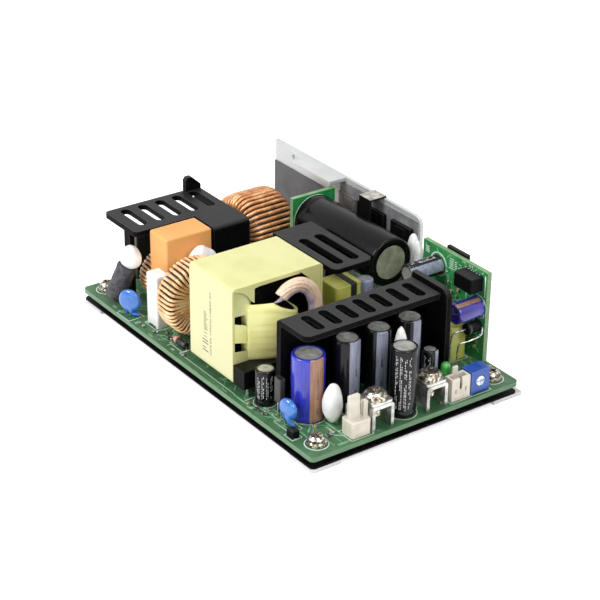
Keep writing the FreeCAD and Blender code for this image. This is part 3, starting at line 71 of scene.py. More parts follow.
def rgb(screen):
    """A linear colour from a screen colour, 0xRRGGBB."""
    shares = [(screen >> shift & 255) / 255 for shift in (16, 8, 0)]
    return (*(s / 12.92 if s <= 0.04045 else ((s + 0.055) / 1.055) ** 2.4 for s in shares), 1.0)


class Shader:
    """A material whose node tree is built line by line."""

    def __init__(self, name, roughness=0.5, metallic=0.0, coat=0.0, specular=0.5):
        self.material = bpy.data.materials.new(name)
        self.material.use_nodes = True
        self.tree = self.material.node_tree
        self.surface = self.tree.nodes["Principled BSDF"]
        self.feed({"Roughness": roughness, "Metallic": metallic, "Coat Weight": coat, "Coat Roughness": 0.08,
                   "Specular IOR Level": specular})
        self.point = self.scaled(self.node("TexCoord", {}).outputs["Object"], (1000.0, 1000.0, 1000.0))

    def feed(self, inputs, node=None):
        """Set or link inputs of a node, or of the surface where no node is named."""
        for name, value in inputs.items():
            socket = (node or self.surface).inputs[name]
            if isinstance(value, bpy.types.NodeSocket):
                self.tree.links.new(value, socket)
            else:
                socket.default_value = value

    def node(self, kind, inputs, **settings):
        node = self.tree.nodes.new("ShaderNode" + kind)
        for name, value in settings.items():
            setattr(node, name, value)
        self.feed(inputs, node)
        return node

    def scaled(self, vector, factors):
        return self.node("VectorMath", {0: vector, 1: factors}, operation="MULTIPLY").outputs[0]

    def noise(self, scale, detail=3.0, stretch=None):
        point = self.scaled(self.point, stretch) if stretch else self.point
        return self.node("TexNoise", {"Scale": scale, "Detail": detail, "Vector": point}).outputs["Fac"]

    def math(self, operation, first, second=0.0):
        return self.node("Math", {0: first, 1: second}, operation=operation).outputs[0]

    def ramp(self, value, stops):
        """A colour ramp through (position, colour) stops."""
        node = self.node("ValToRGB", {0: value})
        elements = node.color_ramp.elements
        while len(elements) < len(stops):
            elements.new(0.5)
        for element, (position, colour) in zip(elements, stops):
            element.position = position
            element.color = rgb(colour)
        return node.outputs["Color"]

    def mix(self, first, second, share, weight=None):
        """The first tone with a share of the second."""
        if weight:
            share = self.math("MULTIPLY", share, weight)
        first, second = (rgb(tone) if isinstance(tone, int) else tone for tone in (first, second))
        return self.node("Mix", {0: share, 6: first, 7: second}, data_type="RGBA").outputs[2]

    def axis(self, name):
        """One axis of the surface normal."""
        normal = self.node("NewGeometry", {}).outputs["Normal"]
        return self.node("SeparateXYZ", {0: normal}).outputs[name]

    def rim(self):
        """One close to an edge, where a lighter tone is painted as a highlight, as if the edge catches light.
        """
        normal = self.node("NewGeometry", {}).outputs["Normal"]
        rounded = self.node("Bevel", {"Radius": EDGE_WIDTH * MM}, samples=4).outputs[0]
        level = self.node("VectorMath", {0: normal, 1: rounded}, operation="DOT_PRODUCT")
        return self.spread(level.outputs["Value"], 0.995, 0.90, 0.0, 1.0)

    def spread(self, value, from_low, from_high, to_low, to_high):
        return self.node("MapRange", {"Value": value, "From Min": from_low, "From Max": from_high,
                                      "To Min": to_low, "To Max": to_high}).outputs[0]

    def rough(self, value, low, high):
        self.feed({"Roughness": self.spread(value, 0.25, 0.75, low, high)})

    def finish(self, tone, relief, height, strength=1.0):
        """The material with its colour, and with relief of a height."""
        bump = self.node("Bump", {"Height": relief, "Strength": strength, "Distance": height * MM})
        self.feed({"Base Color": tone, "Normal": bump.outputs[0]})
        return self.material


def speckled(name, dark, light, scale=0.6, roughness=0.45, coat=0.0, relief=0.01, specular=0.5,
             edge=None, painted_top_sheen=0.0):
    """A finish that drifts between two tones, with fine relief and, where given, lighter edges that are a
    painted highlight.
    Where given, a painted top sheen raises the gloss of faces that look up, so that the tops shine more than
    the sides, as under light from above."""
    shader = Shader(name, roughness, coat=coat, specular=specular)
    tone = shader.ramp(shader.noise(scale), [(0.3, dark), (0.7, light)])
    # The edge tone is a painted highlight where the edges catch light.
    if edge:
        tone = shader.mix(tone, edge, shader.rim(), 0.7)
    # Painted sheen: faces that look up get more gloss than the sides, as under light from above.
    if painted_top_sheen:
        shader.feed({"Specular IOR Level": shader.spread(shader.axis("Z"), 0.1, 0.9, specular, painted_top_sheen)})
    shader.rough(shader.noise(scale * 2.1), max(roughness - 0.06, 0.03), roughness + 0.06)
    return shader.finish(tone, shader.noise(scale * 6.0, 4.0), relief)


def brushed(name, dark, light, stretch, roughness, metallic):
    """Metal with fine lines along one direction."""
    shader = Shader(name, roughness, metallic)
    lines = shader.noise(1.0, 4.0, stretch)
    shader.rough(lines, roughness - 0.06, roughness + 0.1)
    return shader.finish(shader.ramp(lines, [(0.3, dark), (0.7, light)]), lines, 0.008, 0.5)


def plated(name, dark, mid, light, scale, roughness, relief=0.05):
    """Bright plated metal whose colour drifts in patches from dark to bright, a painted reflection of what
    stands around it.
    """
    shader = Shader(name, roughness, 0.9)
    tone = shader.ramp(shader.noise(scale), [(0.34, dark), (0.5, mid), (0.62, light)])
    return shader.finish(tone, shader.noise(scale * 1.6, 2.0), relief, 0.8)


def laminate(name, deep, bright, pour, rim, rim_dark, rim_axis):
    """Solder mask over copper areas on the two faces, bare glass laminate on the cut edges."""
    shader = Shader(name, roughness=0.42, coat=0.06, specular=0.35)
    mask = shader.ramp(shader.noise(0.13), [(0.35, deep), (0.65, bright)])
    areas = shader.node("TexVoronoi", {"Scale": 0.16, "Vector": shader.point}, feature="DISTANCE_TO_EDGE")
    gap = shader.math("LESS_THAN", areas.outputs["Distance"], 0.03)
    weave = shader.noise(2.4, 2.0)
    tone = shader.mix(shader.mix(mask, pour, gap, 0.5), deep, weave, 0.22)
    side = shader.math("LESS_THAN", shader.math("ABSOLUTE", shader.axis(rim_axis)), 0.5)
    bare = shader.ramp(shader.noise(0.9, 4.0, (0.3, 0.3, 4.0)), [(0.35, rim_dark), (0.65, rim)])
    return shader.finish(shader.mix(tone, bare, side), weave, 0.012, 0.6)


def taped(name, light, mid, deep, crease=(0.25, 0.25, 1.1), relief=0.10, side=None):
    """Glossy polyester tape with overlaps and faint creases darkened with painted shade; side is a tone
    painted on the faces to the front, for how the light falls on them.
    """
    shader = Shader(name, roughness=0.34, coat=0.25)
    tone = shader.ramp(shader.noise(0.09), [(0.32, deep), (0.5, mid), (0.68, light)])
    folds = shader.noise(0.5, 2.0, crease)
    flat = shader.ramp(folds, [(0.44, WHITE), (0.5, BLACK), (0.56, WHITE)])
    # Painted shade: the deep tone darkens the tape along its creases.
    tone = shader.mix(tone, deep, shader.math("SUBTRACT", 1.0, flat), 0.10)
    if side:
        # Painted light: faces to the front take the side tone, lit differently from the top.
        tone = shader.mix(tone, side, shader.math("LESS_THAN", shader.axis("Y"), -0.5), 0.85)
    shader.feed({"Subsurface Weight": 0.06, "Subsurface Scale": 0.6 * MM})
    return shader.finish(tone, folds, relief, 0.7)


def sleeve(name, dark, light, streak="Z", roughness=0.22, coat=0.5, specular=0.45, relief=0.012):
    """Shrunk plastic sleeve: glossy, with fine streaks along the can and a painted highlight along its edges.
    """
    shader = Shader(name, roughness, coat=coat, specular=specular)
    stretch = [0.3 if axis == streak else 3.0 for axis in "XYZ"]
    tone = shader.ramp(shader.noise(0.5, stretch=stretch), [(0.3, dark), (0.7, light)])
    shader.rough(shader.noise(0.8), roughness - 0.06, roughness + 0.08)
    # The light tone mixed in near the edges is a painted highlight.
    return shader.finish(shader.mix(tone, light, shader.rim(), 0.35), shader.noise(0.9), relief, 0.7)


def enamel(name, dark, mid, light):
    """Enamelled copper with a clear coat."""
    shader = Shader(name, roughness=0.32, metallic=0.35, coat=0.3)
    shader.rough(shader.noise(1.5), 0.22, 0.38)
    tone = shader.ramp(shader.noise(0.3), [(0.28, dark), (0.5, mid), (0.72, light)])
    return shader.finish(tone, shader.noise(2.5), 0.01, 0.4)


def rubbery(name, dark, light, relief):
    """Cured white silicone, slightly translucent."""
    shader = Shader(name, roughness=0.42, coat=0.04)
    shader.feed({"Subsurface Weight": 0.2, "Subsurface Scale": 1.0 * MM})
    tone = shader.ramp(shader.noise(0.22), [(0.34, dark), (0.6, light)])
    return shader.finish(tone, shader.noise(0.45), relief, 0.8)


# Metals
aluminium = brushed("aluminium", 0xB8BABA, 0xD4D6D6, (0.05, 0.05, 2.4), 0.42, 0.45)
zinc = brushed("zinc", 0x969694, 0xC8C8C4, (1.5, 1.5, 0.3), 0.32, 0.85)
tab_metal = brushed("tab_metal", 0x5C5856, 0x88827E, (0.4, 0.4, 0.12), 0.36, 0.4)
can_top = brushed("can_top", 0xA0A09A, 0xCECEC8, (0.6, 0.6, 0.6), 0.36, 0.6)
can_end = brushed("can_end", 0x868872, 0xA8AA94, (0.4, 0.4, 0.4), 0.4, 0.2)
score = brushed("score", 0x96968C, 0xD4D4CA, (1.0, 1.0, 1.0), 0.4, 0.4)
nickel = plated("nickel", 0x403628, 0xAAA08E, 0xF2EEE6, 1.3, 0.2, 0.04)
bright_steel = plated("bright_steel", 0x96928A, 0xB8B4AA, 0xD6D2CA, 0.5, 0.34, 0.02)
bracket = plated("bracket_tin", 0x969690, 0xBCBCB6, 0xDCDCD8, 0.35, 0.36, 0.02)
tin = plated("tin", 0x8C8C88, 0xC6C6C2, 0xECECEA, 0.9, 0.28)
solder = plated("solder", 0x808280, 0xB2B4B2, 0xE2E4E2, 1.6, 0.26)
rotor_metal = plated("rotor_metal", 0xA6B0C4, 0xCED4E0, 0xF0F2F6, 0.6, 0.3)
copper = enamel("copper", 0xA86638, 0xD2925C, 0xF4C694)
copper_pale = enamel("copper_pale", 0xD49C68, 0xF2C28E, 0xFFE4BC)

# Black and grey parts
# The gloss values given last to some finishes below are a painted sheen on faces that look up.
film_black = speckled("film_black", 0x09090A, 0x100F10, 0.25, 0.42, relief=0.02, specular=0.08)
film_grey = speckled("film_grey", 0x3C3A3D, 0x525053, 0.14, 0.5, relief=0.03)
pad_grey = speckled("pad_grey", 0x545456, 0x88888A, 0.16, 0.6, relief=0.04)
# The edge tones below are painted highlights along the edges.
heatsink = speckled("heatsink_black", 0x0A090A, 0x111011, 0.9, 0.48, relief=0.015, specular=0.03,
                    edge=0x464444, painted_top_sheen=0.34)
package = speckled("package_black", 0x09090A, 0x101011, 1.1, 0.5, relief=0.02, specular=0.05,
                   edge=0x323234, painted_top_sheen=0.24)
ferrite = speckled("ferrite", 0x0A090A, 0x121111, 0.9, 0.55, relief=0.04, specular=0.04,
                   edge=0x32302E, painted_top_sheen=0.16)
bobbin = speckled("bobbin_black", 0x080808, 0x0F0E0E, 0.5, relief=0.015, specular=0.05,
                  edge=0x2E2E2E, painted_top_sheen=0.2)
core_coat = speckled("core_coat", 0x1E1816, 0x342A26, 0.8, relief=0.03)
shrunk = speckled("shrink_tube", 0x323236, 0x525258, 0.6, 0.52, relief=0.05, specular=0.35)
chip_part = speckled("chip_part", 0x161414, 0x262221, 1.2, 0.4, relief=0.02, edge=0x605C5A)

# Coloured parts
# The edge tones of these cases are painted highlights along their edges.
orange = speckled("case_orange", 0xE2A05E, 0xEAAD6B, 0.06, 0.5, relief=0.015, specular=0.2, edge=0xF0B876)
white_case = speckled("case_white", 0xDEDEDD, 0xF0F0EE, 0.15, 0.42, relief=0.02, edge=0xFAFAFA)
ivory = speckled("ivory", 0xCCC4B4, 0xE0D9CB, 0.3, 0.44, relief=0.02, edge=0xFAF6EE)
disc_blue = speckled("disc_blue", 0x2262B8, 0x367CCC, 0.3, 0.16, coat=0.7, relief=0.03)
trimmer_blue = speckled("trimmer_blue", 0x1C4296, 0x2C58B0, 0.3, 0.32, coat=0.2, relief=0.02, edge=0x608CE0)
lamp = speckled("lamp_green", 0x369E3A, 0x5CCC5C, 0.5, 0.1, coat=0.8)
chip_body = speckled("chip_body", 0xA88868, 0xC8AC8C, 1.2, 0.42, relief=0.02)
pink_body = speckled("pink_body", 0xBE8470, 0xE2B09C, 0.9, 0.36, coat=0.2, relief=0.02)
strand = speckled("strand_beige", 0xD8B89C, 0xECD2BA, 0.8, 0.5, relief=0.05)
film_lilac = speckled("film_lilac", 0x9684A0, 0xCEBECE, 0.5, 0.36, coat=0.2, relief=0.05)
silicone = rubbery("silicone", 0xE4E6E5, 0xFAFAF9, 0.16)

# Sleeves of the cans
black_sleeve = sleeve("sleeve_black", 0x09090B, 0x141417, "Z", 0.16, 0.2, 0.2, 0.006)
bulk_sleeve = sleeve("sleeve_bulk", 0x060505, 0x0C0B0A, "X", 0.22, 0.0, 0.18, 0.001)
blue_sleeve = sleeve("sleeve_blue", 0x222898, 0x363CBC)
violet_sleeve = sleeve("sleeve_violet", 0x28207A, 0x483EA8, "Y")
pale_sleeve = sleeve("sleeve_pale", 0x6E768C, 0x949CB4, "Z", 0.3, 0.3)
stripe_grey = sleeve("stripe_grey", 0x707688, 0x949AAE, "Z", 0.3, 0.3)
stripe_brown = sleeve("stripe_brown", 0x8A624C, 0xA88066, "Z", 0.3, 0.3)

# Plain marks, tracks and boards
print_grey = speckled("print_grey", 0xAAAAAE, 0xD6D6DA, 0.9, 0.5, relief=0.005)
print_dark = speckled("print_dark", 0x3C3854, 0x5C5670, 0.9, 0.5, relief=0.005)
faint_print = speckled("print_faint", 0x5C5A50, 0x8C8A7A, 0.9, 0.5, relief=0.005)
silk = speckled("silk", 0xC4D6C6, 0xE0EAE0, 1.2, 0.55, relief=0.005)
trace = speckled("trace_green", 0x5E986A, 0x72A87A, 0.5, 0.4, coat=0.06)
bright_trace = speckled("trace_bright", 0x3AA45C, 0x54BA70, 0.5, 0.4, coat=0.06)
main_green = laminate("board_green", 0x386040, 0x4E7754, 0x2A4F33, 0x648462, 0x4E7652, "Z")
riser_green = laminate("riser_green", 0x1C7A3E, 0x2E9250, 0x145C2E, 0x88AA7E, 0x688E62, "X")
control_green = laminate("control_green", 0x267C42, 0x3A9254, 0x186030, 0x80A076, 0x62865C, "Y")

# Yellow tape
# The wrap's side tone is painted light on its faces to the front.
tape_wrap = taped("tape_wrap", 0xD8D798, 0xD4D391, 0xCDCC88, side=0xD0CD9D)
tape_fold = taped("tape_fold", 0xDEE0AA, 0xD0D498, 0xBEC480, relief=0.2)
# Tape of the taped winding and the middle band: the wrap's tape painted lighter, as painted light against the
# shade it stands in.
tape_coil_painted_light = taped("tape_coil_painted_light", 0xFCFAB4, 0xF9F6A6, 0xF2EE96, (0.1, 0.1, 1.6), 0.2)
# Tape of the small transformers: yellow tape painted darker and olive, as painted shade from the heatsinks
# above them.
tape_small_painted_shade = taped("tape_small_painted_shade", 0xCECE6E, 0xBABA58, 0xA0A042, (0.3, 0.3, 0.6), 0.2)


# Meshes: points are in millimetres, and a shape is a list of points and a list of faces

JOIN_DISTANCE = 0.001 * MM
CORNER_RADIUS = 2.2


def show(name, data):
    piece = bpy.data.objects.new(name, data)
    bpy.context.scene.collection.objects.link(piece)
    return piece


def mesh_object(name, shape, materials, indices=None, smooth=35.0, node=None):
    """A piece from a shape, with one material index for each face and all faces turned outwards.
    Where a CAD node is named, the piece replaces it."""
    mesh = bpy.data.meshes.new(name)
    mesh.from_pydata([Vector(point) * MM for point in shape[0]], [], shape[1])
    for item in materials:
        mesh.materials.append(item)
    if indices is not None:
        mesh.polygons.foreach_set("material_index", indices)
    mesh.polygons.foreach_set("use_smooth", [True] * len(mesh.polygons))
    work = bmesh.new()
    work.from_mesh(mesh)
    bmesh.ops.recalc_face_normals(work, faces=work.faces)
    work.to_mesh(mesh)
    work.free()
    mesh.set_sharp_from_angle(angle=radians(smooth))
    piece = show(name, mesh)
    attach(piece, "supply")
    if node:
        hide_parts(node)
    return piece


def soften(piece, width, segments=2):
    """Round the sharp edges of a piece by a width."""
    rounding = piece.modifiers.new("rounding", "BEVEL")
    rounding.width = width * MM
    rounding.segments = segments
    rounding.limit_method = "ANGLE"
    rounding.angle_limit = radians(30.0)
    rounding.harden_normals = True
    return rounding


def joined(node):
    """A node's mesh with its doubled points joined."""
    work = bmesh.new()
    work.from_mesh(nodes[node].data)
    bmesh.ops.remove_doubles(work, verts=work.verts, dist=JOIN_DISTANCE)
    return work


def clad(node, materials, width=0.12, choose=None, body="supply", segments=2, corner=None):
    """A clean copy of a CAD node with rounded edges. choose(centre) gives a face's material;
    corner(middle) is true for the upright edges that are rounded widely."""
    work = joined(node)
    bmesh.ops.dissolve_limit(work, angle_limit=radians(0.6), verts=work.verts, edges=work.edges)
    mesh = bpy.data.meshes.new(node + "_skin")
    work.to_mesh(mesh)
    work.free()
    for name in ("custom_normal", "sharp_face", "sharp_edge"):
        if name in mesh.attributes:
            mesh.attributes.remove(mesh.attributes[name])
    for item in materials if isinstance(materials, list) else [materials]:
        mesh.materials.append(item)
    for polygon in mesh.polygons:
        polygon.use_smooth = True
        polygon.material_index = choose(polygon.center / MM) if choose else 0
    mesh.set_sharp_from_angle(angle=radians(30))
    piece = show(node + "_skin", mesh)
    if corner:
        weights = mesh.attributes.new("bevel_weight_edge", "FLOAT", "EDGE")
        for edge in mesh.edges:
            start, end = (mesh.vertices[index].co / MM for index in edge.vertices)
            upright = hypot(end.x - start.x, end.y - start.y) < 0.01
            weights.data[edge.index].value = float(upright and corner((start + end) / 2))
        soften(piece, CORNER_RADIUS, 6).limit_method = "WEIGHT"
    soften(piece, width, segments)
    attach(piece, body)
    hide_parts(node)


def cad(node):
    """The low and high corner of a node's box."""
    low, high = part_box(node)
    return low / MM, high / MM


def solids(node):
    """The boxes of a node's separate solids, sorted by place."""
    work = joined(node)
    left, boxes = set(work.verts), []
    for seed in work.verts:
        stack, island = [seed], []
        while stack:
            vertex = stack.pop()
            if vertex in left:
                left.discard(vertex)
                island.append(vertex.co / MM)
                stack += [edge.other_vert(vertex) for edge in vertex.link_edges]
        if island:
            boxes.append([Vector([pick(point[axis] for point in island) for axis in range(3)])
                          for pick in (min, max)])
    work.free()
    return sorted(boxes, key=lambda box: (round(box[0].x, 2), round(box[0].y, 2)))


def tube(points, radius, sides=8, closed=False):
    """A round wire along a path. radius is one number or one for each point."""
    path = [Vector(point) for point in points]
    count = len(path)
    radii = radius if isinstance(radius, list) else [radius] * count
    verts, faces, normal = [], [], None
    for index, point in enumerate(path):
        ahead = path[(index + 1) % count] if closed else path[min(index + 1, count - 1)]
        behind = path[index - 1] if closed else path[max(index - 1, 0)]
        tangent = (ahead - behind).normalized()
        if normal is None:
            normal = tangent.orthogonal().normalized()
        normal = (normal - tangent * normal.dot(tangent)).normalized()
        across = tangent.cross(normal)
        for side in range(sides):
            turn = 2 * pi * side / sides
            verts.append(point + (normal * cos(turn) + across * sin(turn)) * radii[index])
    for index in range(count if closed else count - 1):
        start, end = index * sides, (index + 1) % count * sides
        for side in range(sides):
            other = (side + 1) % sides
            faces.append((start + side, start + other, end + other, end + side))
    if not closed:
        faces += [tuple(reversed(range(sides))), tuple(range((count - 1) * sides, count * sides))]
    return verts, faces


def brick(low, high):
    """A box between two corners."""
    verts = [Vector(corner) for corner in product(*zip(low, high))]
    return verts, [(0, 1, 3, 2), (4, 6, 7, 5), (0, 4, 5, 1), (2, 3, 7, 6), (0, 2, 6, 4), (1, 5, 7, 3)]


def lathe(profile, segments):
    """An outline of (radius, height) turned about Z, with the (row, step) of each face."""
    verts, faces, rows, spans = [], [], [], []
    for radius, height in profile:
        steps = segments if radius else 1
        rows.append(range(len(verts), len(verts) + steps))
        for index in range(steps):
            angle = 2 * pi * index / segments
            verts.append(Vector((radius * cos(angle), radius * sin(angle), height)))
    for row, (low, high) in enumerate(zip(rows, rows[1:])):
        for index in range(segments):
            other = (index + 1) % segments
            if len(low) == 1:
                faces.append((low[0], high[other], high[index]))
            elif len(high) == 1:
                faces.append((low[index], low[other], high[0]))
            else:
                faces.append((low[index], low[other], high[other], high[index]))
            spans.append((row, index))
    return verts, faces, spans


def loft_faces(count, rows):
    """The faces of a closed form of rows with a count of points each."""
    faces = [(row + step, row + (step + 1) % count, row + count + (step + 1) % count, row + count + step)
             for row in range(0, (rows - 1) * count, count) for step in range(count)]
    return faces + [tuple(reversed(range(count))), tuple(range((rows - 1) * count, rows * count))]


class Heap:
    """Many small closed shapes gathered into one piece."""

    def __init__(self):
        self.points, self.faces, self.indices = [], [], []

    def add(self, shape, index=0, move=None):
        start = len(self.points)
        self.points += [move @ Vector(point) for point in shape[0]] if move else shape[0]
        self.faces += [tuple(vertex + start for vertex in face) for face in shape[1]]
        self.indices += [index] * len(shape[1])

    def build(self, name, materials, smooth=35.0, width=0.0, node=None):
        piece = mesh_object(name, (self.points, self.faces), materials, self.indices, smooth, node)
        if width:
            soften(piece, width)


class Layer(Heap):
    """Thin marks on a flat face. place(u, v, height) gives a point. Marks differ a little in height,
    so that no two faces lie in one plane where they cross."""

    STEP, LEVELS = 0.0006, 97

    def __init__(self, place, thickness=0.03):
        super().__init__()
        self.place, self.thickness, self.count = place, thickness, 0

    def slab(self, outer, inner, index):
        """A closed thin strip between two lines of (u, v) points."""
        count = len(outer)
        top = self.thickness + self.STEP * (self.count % self.LEVELS)
        self.count += 1
        verts = [Vector(self.place(u, v, height)) for height in (0.0, top) for u, v in (*outer, *inner)]
        quads = []
        for a in range(count - 1):
            b = a + 1
            quads += [(a, b, count + b, count + a),
                      (2 * count + a, 3 * count + a, 3 * count + b, 2 * count + b),
                      (a, 2 * count + a, 2 * count + b, b),
                      (count + a, count + b, 3 * count + b, 3 * count + a)]
        last = count - 1
        quads += [(0, count, 3 * count, 2 * count), (last, 2 * count + last, 3 * count + last, count + last)]
        self.add((verts, quads), index)

    def strip(self, line, width, index=0):
        """A ribbon of a width along a line of (u, v) points."""
        path = [Vector(point) for point in line]
        left, right = [], []
        for step, point in enumerate(path):
            before = (point - path[step - 1]).normalized() if step else None
            after = (path[step + 1] - point).normalized() if step + 1 < len(path) else None
            along = ((before or after) + (after or before)).normalized()
            side = Vector((-along.y, along.x))
            stretch = 1 / max(0.5, side.dot(Vector((-(after or before).y, (after or before).x))))
            left.append(point + side * width / 2 * stretch)
            right.append(point - side * width / 2 * stretch)
        self.slab(left, right, index)

    def ring(self, u, v, radius, width, index=0, start=0.0, end=2 * pi):
        """A flat arc."""
        steps = max(10, int(radius * 8 * (end - start) / 6.3))
        turns = [start + (end - start) * step / steps for step in range(steps + 1)]
        outer, inner = ([(u + reach * cos(turn), v + reach * sin(turn)) for turn in turns]
                        for reach in (radius + width, radius))
        self.slab(outer, inner, index)

    def frame(self, low, high, width, gap, index):
        """A rectangle around a part's outline."""
        corners = [(low[0] - gap, low[1] - gap), (high[0] + gap, low[1] - gap),
                   (high[0] + gap, high[1] + gap), (low[0] - gap, high[1] + gap)]
        for start, end in zip(corners, corners[1:] + corners[:1]):
            self.strip([start, end], width, index)

    def ticks(self, u, v, count, pitch, length, width, index=0, upright=False):
        """A row of short plain strokes."""
        for step in range(count):
            x, y = (u + pitch * step, v) if upright else (u, v + pitch * step)
            end = (x, y + length) if upright else (x + length, y)
            self.strip([(x, y), end], width, index)


board_low, board_top = (corner.z for corner in cad("main_board"))


# Cans: a sleeve shrunk over the rim, a bare end with score lines, a stripe and plain marks

STANDING = {"Z": Matrix.Identity(4), "X": Matrix.Rotation(pi / 2, 4, "Y"),
            "-Y": Matrix.Rotation(pi / 2, 4, "X")}
CAN_STEPS = 72
STRIPE_ROWS, END_ROW = range(3, 10), 13
STAR = (0.5, 2.6, 4.7)
LIGHT_PRINT, DARK_PRINT = 4, 5
COLUMN_PITCH, LINE_PITCH, STROKE_WIDTH = 1.35, 0.42, 0.2


def moved(place, axis="Z"):
    """A move to a place, with Z laid along an axis."""
    return Matrix.Translation(Vector(place)) @ STANDING[axis]


def can(name, spot, cover, axis="Z", stripe=None, stripe_at=0.0, stripe_half=0.5, marks=(), groove=2.2,
        scores=STAR, top=None, bare=0.80, node=None):
    """One can at a spot of (base, radius, height). stripe_at, stripe_half and scores are angles about
    the can's own axis; bare is the share of the end that the sleeve leaves open."""
    base, radius, height = spot
    lip = radius * bare
    verts, faces, spans = lathe([
        (0, 0.0), (radius * 0.86, 0.0), (radius - 0.15, 0.12), (radius, 0.45), (radius, groove - 0.6),
        (radius - 0.13, groove - 0.1), (radius - 0.13, groove + 0.1), (radius, groove + 0.6),
        (radius, height - 0.75), (radius - 0.10, height - 0.32), (radius - 0.38, height - 0.05),
        (radius - 0.72, height), (lip, height - 0.06), (lip - 0.05, height - 0.22),
        (lip - 0.35, height - 0.28), (0, height - 0.28)], CAN_STEPS)
    heap = Heap()
    heap.add((verts, faces))
    for place, (row, index) in enumerate(spans):
        angle = 2 * pi * (index + 0.5) / CAN_STEPS
        away = abs((angle - stripe_at + pi) % (2 * pi) - pi)
        if row >= END_ROW:
            heap.indices[place] = 1
        elif stripe and row in STRIPE_ROWS and away < stripe_half:
            heap.indices[place] = 2
    for angle in scores:
        line = brick((0.0, -0.07, height - 0.30), (lip - 0.6, 0.07, height - 0.25))
        heap.add(line, 3, Matrix.Rotation(angle, 4, "Z"))
    for slot, *place in marks:
        heap.add(mark(radius, *place), slot)
    move = moved(base, axis)
    heap.points = [move @ point for point in heap.points]
    heap.build(name, [cover, top or can_top, stripe or cover, score, print_grey, print_dark], 40.0, node=node)


def mark(radius, at, low, length, height, steps=3, proud=0.02):
    """A thin closed curved patch on a can."""
    verts = []
    for reach in (radius - proud, radius + proud):
        for step in range(steps + 1):
            angle = at + (step / steps - 0.5) * length / radius
            verts += [Vector((reach * cos(angle), reach * sin(angle), z)) for z in (low, low + height)]
    far = 2 * (steps + 1)
    faces = [(0, 1, far + 1, far), (far - 2, 2 * far - 2, 2 * far - 1, far - 1)]
    for a in range(0, 2 * steps, 2):
        faces += [(a, a + 2, a + 3, a + 1), (far + a, far + a + 1, far + a + 3, far + a + 2),
                  (a, far + a, far + a + 2, a + 2), (a + 1, a + 3, far + a + 3, far + a + 1)]
    return verts, faces


def dashes(at, low, high, pitch, length, height):
    """A column of plain dashes along a can."""
    count = int((high - low) / pitch)
    return [(DARK_PRINT, at, low + pitch * index, length, height) for index in range(count)]


def plain_print(at, low, spot, margin, columns, seed, slot=LIGHT_PRINT):
    """Columns of short plain strokes in place of printed words, up to a margin below the can's end."""
    base, radius, high = spot
    source = random.Random(seed)
    marks = []
    for column in range(columns):
        for line in (0.0, LINE_PITCH):
            z = low + source.uniform(0, 0.6)
            while z < high - margin:
                run = source.uniform(0.35, 1.1)
                if z + run < high - margin and source.random() > 0.3:
                    marks.append((slot, at + (column * COLUMN_PITCH + line) / radius, z, STROKE_WIDTH, run))
                z += run + source.uniform(0.2, 0.45)
    return marks


def stand(box):
    """Base point, radius and height of an upright can from its box."""
    low, high = box
    return ((low.x + high.x) / 2, (low.y + high.y) / 2, low.z), (high.x - low.x) / 2, high.z - low.z


spot = stand(cad("blue_capacitor"))
can("blue_can", spot, blue_sleeve, stripe=stripe_brown, stripe_at=-0.05,
    marks=dashes(-0.02, 3.0, spot[2] - 2.0, 4.6, 0.3, 1.9), node="blue_capacitor")
for index, (box, (turn, half)) in enumerate(zip(solids("output_capacitors"),
                                                ((0.12, 0.55), (-0.36, 0.45), (0.02, 0.36)))):
    spot = stand(box)
    can("output_can_%d" % index, spot, black_sleeve, stripe=stripe_grey, stripe_at=turn, stripe_half=half,
        marks=dashes(turn, 4.6, spot[2] - 2.0, 7.0, 0.5, 2.6), node=None if index else "output_capacitors")
spot = stand(cad("corner_capacitor"))
can("corner_can", spot, black_sleeve, marks=plain_print(-1.25, 2.6, spot, 1.4, 4, 3), node="corner_capacitor")
small_boxes = solids("small_capacitors")
for box, (name, cover, stripe, columns, seed, slot, node) in zip(small_boxes, (
        ("rear_can", pale_sleeve, None, 4, 5, DARK_PRINT, "small_capacitors"),
        ("front_small_can", black_sleeve, None, 4, 6, LIGHT_PRINT, None),
        ("side_can", black_sleeve, stripe_grey, 2, 8, LIGHT_PRINT, None))):
    spot = stand(box)
    can(name, spot, cover, stripe=stripe, stripe_at=0.45, stripe_half=0.42,
        marks=plain_print(-1.35, 2.4, spot, 1.0, columns, seed, slot), groove=1.8, node=node)
low, high = cad("bulk_capacitor")
bulk_radius = (high.y - low.y) / 2
bulk_base = (low.x, (low.y + high.y) / 2, (low.z + high.z) / 2)
can("bulk_can", (bulk_base, bulk_radius, high.x - low.x), bulk_sleeve, "X", groove=3.4,
    scores=(5.85, 2.71, 2.05), top=can_end, bare=0.70, node="bulk_capacitor")
for name, cover, stripe, turn, half, columns, top in (
        ("control_capacitor", black_sleeve, stripe_grey, 0.35, 0.62, 3, can_top),
        ("timing_capacitor", violet_sleeve, stripe_brown, 1.15, 0.22, 0, violet_sleeve)):
    low, high = cad(name)
    spot = ((low.x + high.x) / 2, high.y, (low.z + high.z) / 2), (high.x - low.x) / 2, high.y - low.y
    can(name + "_can", spot, cover, "-Y", stripe, turn, half, plain_print(1.3, 1.8, spot, 1.0, columns, 11),
        1.8, (0.4, 1.9, 3.5), top, node=name)


# Toroid chokes: one wound wire each, crowded into two layers in the bore

